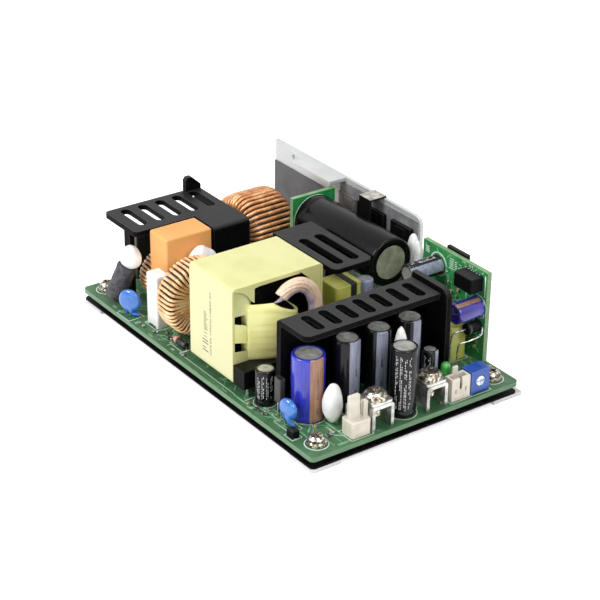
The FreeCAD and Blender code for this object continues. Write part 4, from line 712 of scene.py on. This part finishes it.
def winding(name, node, core, axis, inner_radius, turns, wire, metal):
    """A wound wire that fills the CAD winding's box, on a rounded core."""
    low, high = cad(node)
    core_low, core_high = cad(core)
    centre = (low + high) / 2
    long_axis = "XY".index(axis)
    half = (high[long_axis] - low[long_axis]) / 2 - wire / 2
    outer = (high.z - low.z) / 2 - wire / 2
    rim = (core_high.z - core_low.z) / 2
    inner = inner_radius - wire * 0.55
    bend, wide_bend, corner_steps = wire * 1.1, half * 0.42, 4
    step = 2 * pi / turns
    path = []
    for turn in range(turns):
        start = step * (turn + 0.5 + 0.10 * chance.uniform(-1, 1))
        depth = inner - (turn % 2) * wire * 0.85
        swell = 0.04 * chance.uniform(-1, 1)
        section = []
        for radial, along, bow, first in (
                (outer - wide_bend, half - wide_bend, wide_bend, 0.0),
                (depth + bend, half - bend, bend, 0.5), (depth + bend, bend - half, bend, 1.0),
                (outer - wide_bend, wide_bend - half, wide_bend, 1.5)):
            for index in range(corner_steps + 1):
                angle = pi * (first + 0.5 * index / corner_steps)
                section.append((radial + bow * cos(angle), along + bow * sin(angle)))
        for index, (radial, along) in enumerate(section):
            angle = start + step * (index / len(section) - 0.5)
            radial += swell * (radial > rim)
            side, rise = radial * cos(angle), radial * sin(angle)
            path.append(centre + Vector((along, side, rise) if axis == "X" else (side, along, rise)))
    mesh_object(name, tube(path, wire / 2, 7, closed=True), [metal], smooth=60, node=node)
    clad(core, core_coat, wide_bend * 0.8, segments=5)


winding("pfc_winding", "pfc_choke_winding", "pfc_choke_core", "Y", 6.0, 46, 1.2, copper)
winding("front_winding", "front_choke_winding", "front_choke_core", "X", 5.0, 48, 1.0, copper_pale)
winding("rear_winding", "rear_choke_winding", "rear_choke_core", "X", 3.2, 36, 0.88, copper_pale)


# Pieces that keep their CAD shape, with rounded edges

WALL_TAB, SINK_TAB, TAB_TO_LEADS = 28.6, 19.6, 9.4
MOULDED_FROM = -10.0
CLIP_SADDLE, FILM_LEADS, LED_LEADS = 39.0, 10.0, 8.6
SHEET_ROUNDING = 0.32


def package_face(tab_low, tabs_end=inf):
    """Metal tab of a three-lead package above tab_low, moulded case, or tinned leads."""
    def choose(centre):
        if centre.z > tab_low and centre.x < tabs_end:
            return 1
        return 2 if centre.z < tab_low - TAB_TO_LEADS else 0
    return choose


clad("chassis", aluminium, 0.15)
clad("insulation_sheet", film_black, 0.05)
clad("standoffs", zinc, 0.1)
clad("board_screws", nickel, 0.14, segments=3)
clad("main_board", main_green, 0.06)
clad("input_heatsink", heatsink, SHEET_ROUNDING, segments=3)
clad("middle_heatsink", heatsink, SHEET_ROUNDING, segments=3)
sink_low, sink_high = cad("output_heatsink")
clad("output_heatsink", heatsink, SHEET_ROUNDING, segments=3, corner=lambda middle: (
    middle.x > sink_high.x - 2.5 and middle.y < sink_low.y + 0.1 and middle.z > 30.0))
clad("side_film", film_grey, 0.05)
clad("thermal_pad", pad_grey, 0.04)
clad("wall_transistors", [package, tab_metal, tin], choose=package_face(WALL_TAB, MOULDED_FROM))
faces = Heap()
for index, (low, high) in enumerate(solids("wall_transistors")):
    middle = (low.x + high.x) / 2
    faces.add(brick((middle - 2.2, high.y - 1.5, high.z - 5.4), (middle + 2.2, high.y - 0.3, high.z - 0.9)),
              index == 0)
faces.build("device_faces", [package, tab_metal], width=0.1)
clad("power_transistors", [package, tab_metal, tin], choose=package_face(SINK_TAB))
clad("device_clip", [package, bright_steel], 0.08, lambda centre: centre.z > CLIP_SADDLE)
clad("bridge_rectifier", package, 0.15)
clad("transformer_core", ferrite, 0.2)
clad("transformer_bobbin", bobbin, 0.2)
clad("transformer_pins", tin, 0.05)
clad("orange_capacitor", orange, 0.25)
clad("white_capacitor", white_case, 0.2)
clad("riser_board", riser_green, 0.05)
clad("control_board", control_green, 0.05)
clad("control_chips", package, 0.08)
clad("feedback_optocoupler", package)
clad("corner_diode", package, 0.1)
clad("film_capacitor", [chip_part, tin], 0.18, lambda centre: centre.z < FILM_LEADS)
clad("terminal_brackets", bracket, 0.14)
clad("terminal_washers", bracket, 0.14)
clad("terminal_screws", nickel, 0.16, segments=3)
for node in ("output_header", "sense_header", "input_header"):
    clad(node, ivory, 0.14)
clad("header_pins", tin, 0.08)
clad("trimmer_body", trimmer_blue, 0.16)
clad("trimmer_rotor", rotor_metal, 0.08, body="trim_rotor")
clad("led", [lamp, tin], 0.06, lambda centre: centre.z < LED_LEADS)
clad("gate_transformer", tape_small_painted_shade, 0.3)
clad("transformer_wrap", tape_wrap, 0.3, segments=3)


# Transformer: tape folded over the open end, and a taped winding that swells out of it

def smooth_line(corners, steps=8):
    """A rounded line through corner points."""
    line = []
    for index in range(len(corners) - 1):
        before, start = corners[max(index - 1, 0)], corners[index]
        end, after = corners[index + 1], corners[min(index + 2, len(corners) - 1)]
        for t in (step / steps for step in range(steps)):
            line.append(0.5 * (2 * start + (end - before) * t
                               + (2 * before - 5 * start + 4 * end - after) * t ** 2
                               + (3 * start - before - 3 * end + after) * t ** 3))
    return line + [corners[-1]]


def plate(corners, x, thickness):
    """A flat shape in the YZ plane, from x to x + thickness."""
    verts = [Vector((x + side * thickness, y, z)) for side in (0, 1) for y, z in corners]
    return verts, loft_faces(len(corners), 2)


# Outlines in the YZ plane of the tape that closes the wrap's open end
POCKET = [(-34.9, 37.7), (-28.4, 37.7), (-28.4, 31.4), (-30.2, 28.7), (-34.9, 28.9)]
BAND = [(-34.9, 27.2), (-30.5, 25.6), (-30.5, 19.8), (-34.9, 21.0)]
UPPER_FOLD = [(-34.9, 37.8), (-27.8, 37.8), (-27.8, 32.3), (-28.8, 33.0), (-30.0, 34.9), (-31.6, 36.3),
              (-33.2, 37.1), (-34.9, 37.4)]
TOP_RIM = [(-27.8, 37.8), (-11.6, 37.8), (-11.6, 37.3), (-20.0, 37.3), (-26.4, 37.2), (-27.8, 36.9)]
RIGHT_FOLD = [(-11.6, 37.8), (-4.3, 37.8), (-4.3, 29.6), (-6.4, 30.6), (-7.5, 33.9), (-9.2, 35.6)]
LOWER_FOLD = [(-34.9, 18.0), (-29.7, 17.2), (-29.7, 13.6), (-33.2, 12.8), (-34.9, 11.7)]

wrap_low, wrap_high = cad("transformer_wrap")
end_x = wrap_high.x - 0.45
folds = Heap()
folds.add(plate(POCKET, end_x - 1.0, 0.3), 1)
folds.add(plate(BAND, end_x - 0.1, 0.3), 2)
for corners in (UPPER_FOLD, TOP_RIM, RIGHT_FOLD, LOWER_FOLD):
    folds.add(plate(corners, end_x, 0.35))
folds.build("end_tapes", [tape_wrap, tape_fold, tape_coil_painted_light], width=0.08)

# Plan of the taped winding: square at the back, swollen where it leaves the wrap
COIL_BACK = [(-1.3, -12.2), (-1.3, -28.2), (0.6, -30.0)]
COIL_FRONT = [(19.0, -30.4), (20.5, -30.2), (21.5, -28.6), (23.2, -25.8), (24.6, -22.6), (24.9, -19.2),
              (23.8, -15.4), (21.0, -12.8), (19.0, -12.2)]
LEAN_FROM, LEAN, TAPE_TURNS = -24.0, 0.46, 23


def loft(section, rows):
    """A plan outline through (height, inset) rows, whose top leans down along Y."""
    middle = sum((Vector((x, y, 0)) for x, y in section), Vector()) / len(section)
    verts = []
    for height, inset in rows:
        share = (height - rows[0][0]) / (rows[-1][0] - rows[0][0])
        for x, y in section:
            point = Vector((x, y, 0))
            drop = LEAN * max(0.0, y - LEAN_FROM) * share ** 2
            verts.append(point + (middle - point).normalized() * inset + Vector((0, 0, height - drop)))
    return verts, loft_faces(len(section), len(rows))


low, high = cad("transformer_winding")
front_line = [(point.x, point.y) for point in smooth_line([Vector((x, y, 0)) for x, y in COIL_FRONT])]
coil_low, coil_high = low.z - 0.6, high.z
rows = [(coil_low, 1.6), (coil_low + 0.35, 0.5), (coil_low + 1.0, 0.1)]
for step in range(TAPE_TURNS):
    height = coil_low + 1.6 + (coil_high - coil_low - 3.2) * step / (TAPE_TURNS - 1)
    rows.append((height, -0.10 * sin(step * 2.1) - 0.05 * sin(step * 5.3)))
rows += [(coil_high - 0.7, 0.15), (coil_high - 0.2, 0.6), (coil_high, 1.3)]
coil = Heap()
coil.add(loft(COIL_BACK + front_line, rows))
coil.indices[-1] = 1
coil.build("taped_coil", [tape_coil_painted_light, bobbin], 50.0, node="transformer_winding")


# Braided lead that arches from its pin rail onto the winding

low, high = cad("transformer_lead")
lead_x = (low.x + high.x) / 2
arch_top, leg_y = high.z - 2.0, high.y - 2.0
ARCH_HALF, RISE_FAR, RISE_NEAR, ARCH_END = 7.0, 9.5, 6.6, radians(140)


def arch(reach):
    """The lead's centre line, moved outwards from the arch by a reach."""
    leg_top = arch_top - RISE_FAR
    line = [(lead_x, leg_y + reach, low.z + (leg_top - low.z) * step / 12) for step in range(12)]
    for turn in (ARCH_END * step / 24 for step in range(25)):
        rise = RISE_FAR if turn < pi / 2 else RISE_NEAR
        line.append((lead_x, leg_y - ARCH_HALF + (ARCH_HALF + reach) * cos(turn),
                     arch_top - rise + (rise + reach) * sin(turn)))
    return [Vector(point) for point in line]


def twisted(path, radius, strands, twist, wire):
    """Strands of a wire that wind about a path; twist is the turn between two points."""
    for number in range(strands):
        line = []
        for index, point in enumerate(path):
            along = (path[min(index + 1, len(path) - 1)] - path[max(index - 1, 0)]).normalized()
            out = Vector((0, along.z, -along.y)).normalized()
            turn = 2 * pi * number / strands + twist * index
            line.append(point + (Vector((1, 0, 0)) * cos(turn) + out * sin(turn)) * radius)
        yield tube(line, wire, 7)


lead = Heap()
for shape in twisted(arch(0.35), 1.3, 10, 0.09, 0.72):
    lead.add(shape)
lead.add(tube(arch(0.3), 1.2, 10))
lead.add(tube(arch(-1.0), 1.35, 14), 1)
lead_end = arch(-0.6)[-1]
tail = [lead_end, lead_end + Vector((-0.2, -1.2, -0.7)), lead_end + Vector((-0.5, -2.8, -1.2))]
lead.add(tube(tail, [0.8, 0.5, 0.25], 10), 1)
lead.build("braided_lead", [strand, film_lilac], 60.0, node="transformer_lead")

# Straps of the two small transformers
low, high = cad("auxiliary_transformer")
clad("auxiliary_transformer", tape_small_painted_shade, 0.35, segments=3)
straps = Heap()
strap_low, strap_high = high.y - 4.4, high.y - 2.2
straps.add(brick((low.x + 0.2, strap_low, high.z - 0.5), (high.x + 0.25, strap_high, high.z + 0.25)))
straps.add(brick((high.x - 0.4, strap_low, low.z), (high.x + 0.25, strap_high, high.z)))
straps.build("auxiliary_core", [chip_part], width=0.15)
low, high = cad("gate_transformer")
straps = Heap()
straps.add(brick((low.x + 1.4, low.y - 0.12, low.z), (low.x + 1.9, low.y + 0.3, high.z - 1.0)))
straps.build("gate_fold", [tape_fold], width=0.05)


# Dipped discs: a lens-shaped coat that runs down onto the wires

def lens(radius, half, steps=9):
    """Outline of a thick lens as (radius, height) from one pole to the other."""
    outline = [(0, -half)]
    for step in range(1, 2 * steps):
        angle = pi * (step / (2 * steps) - 0.5)
        height = copysign(abs(sin(angle)) ** 0.9, sin(angle))
        outline.append((radius * cos(angle) ** 0.72, half * height))
    return outline + [(0, half)]


def dipped_disc(name, centre, degrees, radius, half, long_foot, node=None):
    """A disc whose coat runs down one wire in a long neck and down the other in a short one."""
    turn = radians(degrees)
    centre, out = Vector(centre), Vector((sin(turn), -cos(turn), 0))
    side, down = Vector((cos(turn), sin(turn), 0)), Vector((0, 0, -1))
    heap = Heap()
    heap.add(lathe(lens(radius, half), 48), 0, Matrix.Translation(centre) @ Matrix.Rotation(turn, 4, "Z")
             @ STANDING["-Y"])
    foot = side * long_foot + down * (centre.z - board_top)
    neck = [centre + side * 0.1 + out * 0.55 + down * radius * 0.25,
            centre + side * 0.6 + out * 0.75 + down * radius * 0.7,
            centre + side * 1.2 + out * 0.6 + down * (radius + 0.1), centre + foot * 0.86 + out * 0.2,
            centre + foot + Vector((0, 0, 0.5))]
    line = smooth_line(neck)
    last = len(line) - 1
    heap.add(tube(line, [0.95 - 0.45 * step / last for step in range(last + 1)], 12))
    heap.add(tube([centre + foot * 0.9, centre + foot], 0.3), 1)
    near = centre - side * 1.3
    short = [near + down * (radius * 0.7), near + down * (radius + 0.9)]
    heap.add(tube(short, [0.7, 0.4], 12))
    heap.add(tube([short[0], near + down * (centre.z - board_top)], 0.3), 1)
    heap.build(name, [disc_blue, tin], 60.0, node=node)


dipped_disc("left_disc", (-38.4, -35.2, 10.1), 30, 3.9, 1.4, 3.4, "disc_capacitors")
dipped_disc("front_disc", (45.0, -33.1, 10.5), 10, 3.3, 1.3, 2.5)


# Leaning fuse in a shrink tube with ripples

FUSE_BASE, FUSE_TOP = Vector((-50.2, -33.6, board_top + 1.4)), Vector((-45.4, -31.5, board_top + 13.8))
FUSE_RADIUS, FUSE_ROWS = 3.5, 56


def rippled_tube(length, radius):
    profile = [(0, 0), (radius - 0.7, 0.0), (radius - 0.15, 0.25)]
    for step in range(FUSE_ROWS + 1):
        z = 0.5 + (length - 1.0) * step / FUSE_ROWS
        ripple = 0.10 * sin(z * 5.2 + 0.8 * sin(z * 1.7)) + 0.05 * sin(z * 11.0)
        profile.append(((radius - 0.16) * (1 - 0.05 * z / length) + ripple, z))
    profile += [(radius * 0.95 - 0.4, length - 0.2), (radius * 0.95 - 1.0, length), (0, length)]
    verts, faces, spans = lathe(profile, 56)
    for index, point in enumerate(verts):
        dent = 0.12 * noise.noise(Vector((point.x * 0.5, point.y * 0.5, point.z * 0.35)))
        reach = Vector((point.x, point.y, 0))
        if reach.length > 0.1:
            verts[index] = point - reach.normalized() * abs(dent)
    return verts, faces


rise = FUSE_TOP - FUSE_BASE
move = Matrix.Translation(FUSE_BASE) @ rise.to_track_quat("Z", "Y").to_matrix().to_4x4()
verts, faces = rippled_tube(rise.length, FUSE_RADIUS)
mesh_object("fuse_tube", ([move @ point for point in verts], faces), [shrunk], smooth=60, node="sleeved_fuse")


# Control board: diode with looped wires, small parts and pads

def barrel(radius, low, high, chamfer=0.3):
    """Outline of a round body with chamfered ends."""
    return [(0, low), (radius - chamfer, low), (radius, low + chamfer), (radius, high - chamfer),
            (radius - chamfer, high), (0, high)]


low, high = cad("control_diode")
diode_radius, diode_x, diode_z = (high.x - low.x) / 2, (low.x + high.x) / 2, (low.z + high.z) / 2
diode = Heap()
move = moved((diode_x, high.y, diode_z), "-Y")
diode.add(lathe(barrel(diode_radius, 0.3, 5.6), 40), 0, move)
band = diode_radius + 0.02
diode.add(lathe([(0, 4.2), (band, 4.2), (band, 4.9), (0, 4.9)], 40), 2, move)
for wire in (
        ((diode_x, 36.2, diode_z), (48.2, 36.0, 17.0), (48.7, 35.3, 15.2), (48.2, 33.6, 14.2),
         (47.6, 31.0, 13.6), (47.0, 29.0, 13.3), (46.7, 28.2, 12.0), (46.6, 28.0, 9.0),
         (46.6, 28.0, board_top)),
        ((diode_x, 31.2, diode_z), (diode_x, 29.7, diode_z), (46.3, 28.0, 17.3), (45.7, 26.6, 16.2),
         (45.4, 26.2, 13.0), (45.4, 26.2, 9.0), (45.4, 26.2, board_top))):
    diode.add(tube(smooth_line([Vector(point) for point in wire]), 0.27, 8), 1)
diode.build("diode_on_wires", [package, tin, chip_part], 50.0, node="control_diode")

board_face = cad("control_board")[0].y
parts = Heap()
for x, z, length, height, slot in (
        (33.0, 22.9, 1.8, 1.0, 1), (36.2, 24.6, 1.4, 1.0, 1), (35.6, 22.2, 1.0, 1.0, 3),
        (33.6, 20.2, 1.8, 1.0, 0), (36.4, 27.0, 1.2, 0.9, 2), (34.6, 27.8, 1.2, 0.9, 2),
        (31.6, 25.6, 1.3, 0.8, 1), (45.6, 12.4, 1.4, 0.9, 0), (42.2, 11.0, 1.4, 0.9, 0),
        (45.2, 9.2, 1.4, 0.9, 1), (23.8, 30.6, 1.2, 0.8, 0), (21.4, 26.0, 1.2, 0.8, 1)):
    left, right, foot, top = x - length / 2, x + length / 2, z - height / 2, z + height / 2
    parts.add(brick((left, board_face - 0.6, foot), (right, board_face + 0.05, top)), slot)
    for end in (left + 0.15, right - 0.15):
        parts.add(brick((end - 0.2, board_face - 0.65, foot - 0.05),
                        (end + 0.2, board_face + 0.05, top + 0.05)), 2)
low, high = solids("control_chips")[-1]
for index in range(6):
    x = low.x + 1.0 + index * (high.x - low.x - 2.0) / 5
    for z in (low.z - 0.55, high.z + 0.1):
        parts.add(brick((x - 0.22, board_face - 1.2, z), (x + 0.22, board_face + 0.05, z + 0.45)), 2)
parts.build("control_small_parts", [chip_part, chip_body, solder, bright_trace], width=0.06)


# Small parts on the main board: snubber diode, chip parts, solder joints, and a dark case that also stands
# for painted shade

low, high = cad("snubber_diode")
snubber = Heap()
middle_y, middle_z, snub_radius = (low.y + high.y) / 2, (low.z + high.z) / 2, (high.y - low.y) / 2
snubber.add(lathe(barrel(snub_radius, 0, 4.5), 32), 0, moved((high.x - 4.6, middle_y, middle_z), "X"))
flared = [(0, 0), (snub_radius * 0.75, 0.0), (snub_radius * 0.85, 0.9), (snub_radius * 0.85, 1.6), (0, 1.9)]
snubber.add(lathe(flared, 32), 1, moved((low.x + 0.2, middle_y, middle_z), "X"))
for x in (low.x + 0.3, high.x - 0.3):
    snubber.add(tube([(x, middle_y, middle_z), (x, middle_y, board_top)], 0.28), 2)
snubber.build("snubber", [chip_part, pink_body, tin], 50.0, node="snubber_diode")


def chip_on_board(heap, x, y, turn, length, slot, tall=0.6):
    """A small block with two tinned ends, flat on the board."""
    move = moved((x, y, board_top)) @ Matrix.Rotation(turn, 4, "Z")
    half = length * 0.55 / 2
    heap.add(brick((-length / 2, -half, 0), (length / 2, half, tall)), slot, move)
    for end in (0.2 - length / 2, length / 2 - 0.2):
        heap.add(brick((end - 0.3, -half - 0.05, 0), (end + 0.3, half + 0.05, tall + 0.05)), 2, move)


chips = Heap()
for chip in (
        (-17.4, -33.6, 0.3, 2.0, 0), (-16.6, -30.9, 0.0, 1.6, 1), (-20.6, -32.2, 1.2, 1.6, 0),
        (-6.2, -36.0, 0.0, 1.6, 1), (-29.0, -36.1, 0.0, 1.6, 1), (-23.4, -35.2, 0.8, 1.6, 0),
        (33.4, -35.6, 0.0, 2.0, 0), (29.2, -36.0, 0.0, 1.6, 1), (36.4, -35.4, 0.7, 1.6, 0),
        (50.6, -27.6, 0.4, 1.6, 1), (56.6, -27.4, 1.57, 2.0, 0), (55.6, -25.4, 0.0, 1.6, 1),
        (52.2, 8.2, 0.0, 1.6, 0), (52.0, 21.6, 1.57, 1.8, 0), (50.2, 25.6, 0.0, 1.8, 1),
        (54.8, 29.2, 0.8, 1.6, 0), (60.4, 10.6, 1.57, 1.6, 1), (-58.6, -24.4, 1.57, 2.0, 0),
        (-60.2, -18.6, 0.0, 1.6, 1)):
    chip_on_board(chips, *chip)
chips.build("board_chips", [chip_part, chip_body, solder], width=0.06)

JOINT_CONE = [(0, 0.0), (1.1, 0.0), (0.8, -0.25), (0.45, -0.7), (0.3, -1.15), (0, -1.2)]
END_JOINTS = [(62.0, -15.2), (62.0, -9.0), (62.0, 4.6), (62.0, 10.8), (61.2, -21.0), (61.2, -18.4),
              (61.4, 16.0), (61.4, 18.6), (60.8, 22.6), (60.8, 25.4)]
FRONT_JOINTS = [(-38.0, -36.4)] + [(x, -36.6) for x in (-18.0, 4.0, 24.0, 44.6, 52.0)]
joints = Heap()
for x, y in END_JOINTS + FRONT_JOINTS:
    joints.add(lathe(JOINT_CONE, 16), 0, moved((x, y, board_low)))
joints.build("solder_joints", [solder], 60.0)

# Dark case between the input header and the heatsink's leg, partly a device and partly painted shade: a dark
# block where shade falls behind the leg
shade_and_rear_case = Heap()
shade_and_rear_case.add(brick((-60.6, -20.6, board_top), (-58.0, -13.6, board_top + 16.2)))
shade_and_rear_case.build("shade_and_rear_case", [chip_part], width=0.5)


# Silicone beads: smooth soft ovals that are slimmer at the top

def bead(name, low, high, seed, node, lumps=0.12):
    work = bmesh.new()
    bmesh.ops.create_icosphere(work, subdivisions=5, radius=1.0)
    centre, half = (low + high) / 2, (high - low) / 2
    points = []
    for index, vertex in enumerate(work.verts):
        vertex.index = index
        sway = noise.noise(vertex.co * 1.1 + Vector((seed, seed * 2, 0.0))) * lumps
        scale = min(1.0, 0.965 + sway)
        slim = 1.0 - 0.16 * max(0.0, vertex.co.z) ** 2
        reach = Vector((vertex.co.x * slim, vertex.co.y * slim, vertex.co.z)) * scale
        points.append(centre + reach * half)
    faces = [tuple(vertex.index for vertex in face.verts) for face in work.faces]
    work.free()
    mesh_object(name, (points, faces), [silicone], smooth=180, node=node)


FUSE_BEAD_X = -40.0
beads = [box for box in solids("silicone_beads") if box[1].x > FUSE_BEAD_X]
beads.append((Vector((-48.2, -34.8, 18.2)), Vector((-39.6, -27.8, 26.2))))
beads.append((Vector((11.6, 33.8, 15.5)), Vector((17.4, 38.0, 35.8))))
for index, (low, high) in enumerate(beads):
    bead("silicone_%d" % index, low, high, index * 3.1 + 1.0, None if index else "silicone_beads")


# Tracks, vias and silk on the boards

TRACK, OUTLINE, VIA = 0, 1, 2


def tracks(layer, low, high, count, seed, widths, keep=lambda u, v: True):
    """Tracks that run straight and turn by 45 degrees, and end in vias."""
    source = random.Random(seed)
    for number in range(count):
        u, v = source.uniform(low[0], high[0]), source.uniform(low[1], high[1])
        heading = source.randrange(8)
        line = [(u, v)]
        for step in range(source.randint(1, 3)):
            run = source.uniform(1.5, 8.0)
            u += run * cos(heading * pi / 4)
            v += run * sin(heading * pi / 4)
            if not (low[0] < u < high[0] and low[1] < v < high[1]):
                break
            line.append((u, v))
            heading += source.choice((-1, 1))
        if len(line) > 1 and all(keep(*point) for point in line):
            layer.strip(line, source.choice(widths), TRACK)
            if number % 2:
                layer.ring(line[-1][0], line[-1][1], 0.16, 0.26, VIA)


def upright_corners(box, side, foot=0.5):
    """The corners of an upright board's face as (side, z), moved in from its edges."""
    low, high = box
    return (low[side] + 0.5, low.z + foot), (high[side] - 0.5, high.z - 0.5)


MARGIN, SCREW_CLEARANCE = 0.9, 3.6
low, high = cad("main_board")
holes = [(box[0] + box[1]) / 2 for box in solids("board_screws")]
floor_layer = Layer(lambda u, v, height: (u, v, board_top + height))
tracks(floor_layer, (low.x + MARGIN, low.y + MARGIN), (high.x - MARGIN, high.y - MARGIN), 520, 21,
       (0.25, 0.35, 0.5, 0.9),
       lambda u, v: all(hypot(u - hole.x, v - hole.y) > SCREW_CLEARANCE for hole in holes))
for box in [cad("blue_capacitor"), cad("corner_capacitor"), *solids("output_capacitors"), *small_boxes]:
    base, radius, height = stand(box)
    floor_layer.ring(base[0], base[1], radius + 0.3, 0.22, OUTLINE)
for low, high in [*solids("disc_capacitors"), *(cad(node) for node in (
        "snubber_diode", "film_capacitor", "output_header", "orange_capacitor", "white_capacitor",
        "corner_diode", "trimmer_body", "sense_header", "feedback_optocoupler", "input_header",
        "gate_transformer", "transformer_bobbin"))]:
    floor_layer.frame(low, high, 0.18, 0.5, OUTLINE)
for hole in holes:
    floor_layer.ring(hole.x, hole.y, 3.3, 0.35, OUTLINE)
for u, v, count, upright in ((-33.0, -36.9, 4, False), (33.2, -33.6, 5, True), (50.6, -36.4, 4, True),
                             (-12.0, -36.9, 3, True), (52.2, -25.2, 4, True), (56.2, 2.4, 3, False),
                             (-46.6, -37.0, 4, True), (30.0, -37.0, 4, True), (55.2, 20.4, 3, False)):
    floor_layer.ticks(u, v, count, 0.55, 1.0, 0.16, OUTLINE, upright)
floor_layer.build("board_tracks", [trace, silk, solder], 180)

riser_box = cad("riser_board")
riser_layer = Layer(lambda u, v, height: (riser_box[1].x + height, u, v))
tracks(riser_layer, *upright_corners(riser_box, 1, 1.0), 46, 5, (0.3, 0.5, 0.8))
riser_layer.ring(bulk_base[1], bulk_base[2], bulk_radius - 0.4, 0.3, OUTLINE, -0.6, 3.7)
riser_layer.build("riser_tracks", [bright_trace, silk, solder], 180)

control_box = cad("control_board")
control_layer = Layer(lambda u, v, height: (u, board_face - height, v))
tracks(control_layer, *upright_corners(control_box, 0), 120, 9, (0.22, 0.3, 0.5))
back_layer = Layer(lambda u, v, height: (u, control_box[1].y + height, v))
tracks(back_layer, *upright_corners(control_box, 0), 120, 12, (0.22, 0.3, 0.5))
back_layer.build("control_back_tracks", [trace, silk, solder], 180)
for name, width in (("control_capacitor", 0.5), ("timing_capacitor", 0.2)):
    low, high = cad(name)
    control_layer.ring((low.x + high.x) / 2, (low.z + high.z) / 2, (high.x - low.x) / 2 + 0.3, width, OUTLINE)
control_layer.strip([(47.9, 34.0), (47.9, 27.0)], 0.4, OUTLINE)
control_layer.strip([(47.9, 26.0), (47.9, 19.4)], 0.3, OUTLINE)
for u, v, count, pitch, length, width, upright in (
        (31.4, 30.4, 6, 0.62, 2.0, 0.26, False), (33.8, 30.6, 5, 0.62, 1.0, 0.26, False),
        (37.4, 34.1, 3, 0.7, 0.8, 0.2, True), (40.4, 34.1, 3, 0.7, 0.8, 0.2, True),
        (20.0, 31.6, 4, 0.6, 1.8, 0.3, False), (34.4, 25.6, 3, 0.5, 1.2, 0.18, False),
        (43.0, 13.2, 4, 0.6, 1.4, 0.18, False)):
    control_layer.ticks(u, v, count, pitch, length, width, OUTLINE, upright)
control_layer.build("control_tracks", [bright_trace, silk, solder], 180)

# Three columns of plain strokes on the transformer's wrap
wrap_layer = Layer(lambda u, v, height: (u, wrap_low.y - height + 0.01, v), 0.02)
source = random.Random(4)
for left, width, low_z, high_z, pitch in ((4.6, 3.2, 11.0, 16.4, 0.85), (5.4, 2.0, 17.4, 26.2, 0.55),
                                          (8.6, 0.9, 12.4, 33.0, 0.5)):
    z = low_z
    while z < high_z:
        run = width * source.uniform(0.5, 1.0)
        if source.random() > 0.15:
            wrap_layer.strip([(left, z), (left + run, z)], pitch * 0.45)
        z += pitch * source.uniform(0.85, 1.2)
wrap_layer.build("wrap_marks", [faint_print], 180)


# Camera, light and floor

camera_data = bpy.data.cameras.new("camera")
camera_data.lens = 110.0
camera_data.sensor_width = 36.0
camera_data.shift_x = 0.00107
camera_data.clip_start = 0.05
camera_data.clip_end = 10.0
camera = show("camera", camera_data)
right = Vector((0.5828, 0.8125, 0.0107)).normalized()
back = Vector((0.7191, -0.5219, 0.4589)).normalized()
pose = Matrix((right, back.cross(right).normalized(), back)).transposed().to_4x4()
pose.translation = Vector((409.1, -293.9, 271.4 + board_top)) * MM
camera.matrix_world = pose
bpy.context.scene.camera = camera

LIGHT_AIM = Vector((0.0, 0.0, 0.015))
SKY_LIGHT, FLOOR_GLOW, FLOOR_DROP = 0.38, 0.45, 0.05


def lamp_panel(name, place, size, watts):
    """A soft square lamp that faces the object; its place and size are in metres."""
    data = bpy.data.lights.new(name, "AREA")
    data.shape = "SQUARE"
    data.size = size
    data.energy = watts
    panel = show(name, data)
    panel.location = place
    panel.rotation_euler = (LIGHT_AIM - Vector(place)).to_track_quat("-Z", "Y").to_euler()
    panel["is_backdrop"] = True


lamp_panel("key", (-0.15, -0.55, 0.50), 0.30, 3.9)
lamp_panel("side", (0.54, -0.04, 0.46), 0.30, 2.1)
lamp_panel("top", (-0.05, 0.10, 0.75), 0.45, 1.5)
lamp_panel("strip", (0.27, -0.58, 0.22), 0.06, 0.3)


def seen_directly(tree):
    """One for the camera, and for what metal and glass reflect or let through."""
    path = tree.nodes.new("ShaderNodeLightPath")
    total = path.outputs["Is Camera Ray"]
    for name in ("Is Glossy Ray", "Is Transmission Ray"):
        join = tree.nodes.new("ShaderNodeMath")
        join.operation = "MAXIMUM"
        tree.links.new(total, join.inputs[0])
        tree.links.new(path.outputs[name], join.inputs[1])
        total = join.outputs[0]
    return total


world = bpy.data.worlds.new("studio")
bpy.context.scene.world = world
world.use_nodes = True
tree = world.node_tree
tree.nodes.clear()
output = tree.nodes.new("ShaderNodeOutputWorld")
choice = tree.nodes.new("ShaderNodeMixShader")
for socket, strength in ((1, SKY_LIGHT), (2, 1.0)):
    sky = tree.nodes.new("ShaderNodeBackground")
    sky.inputs["Color"].default_value = rgb(WHITE)
    sky.inputs["Strength"].default_value = strength
    tree.links.new(sky.outputs[0], choice.inputs[socket])
tree.links.new(seen_directly(tree), choice.inputs[0])
tree.links.new(choice.outputs[0], output.inputs["Surface"])

floor_shader = Shader("floor", roughness=0.9, specular=0.1)
glow = floor_shader.math("MULTIPLY", seen_directly(floor_shader.tree), FLOOR_GLOW)
pale = floor_shader.ramp(floor_shader.noise(0.01), [(0.3, 0xF7F7F7), (0.7, 0xFAFAFA)])
floor_shader.feed({"Base Color": pale, "Emission Color": rgb(WHITE), "Emission Strength": glow})
floor_mesh = bpy.data.meshes.new("floor")
floor_mesh.from_pydata([(-3, -3, 0), (3, -3, 0), (3, 3, 0), (-3, 3, 0)], [], [(0, 1, 2, 3)])
floor_mesh.materials.append(floor_shader.material)
floor = show("floor", floor_mesh)
floor.location.z = -FLOOR_DROP * MM
floor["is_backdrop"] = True

bpy.context.scene.view_settings.view_transform = "Standard"

shown_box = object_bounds()
({name: [list(corner) for corner in box]
           for name, box in (("cad", cad_box), ("shown", shown_box))})
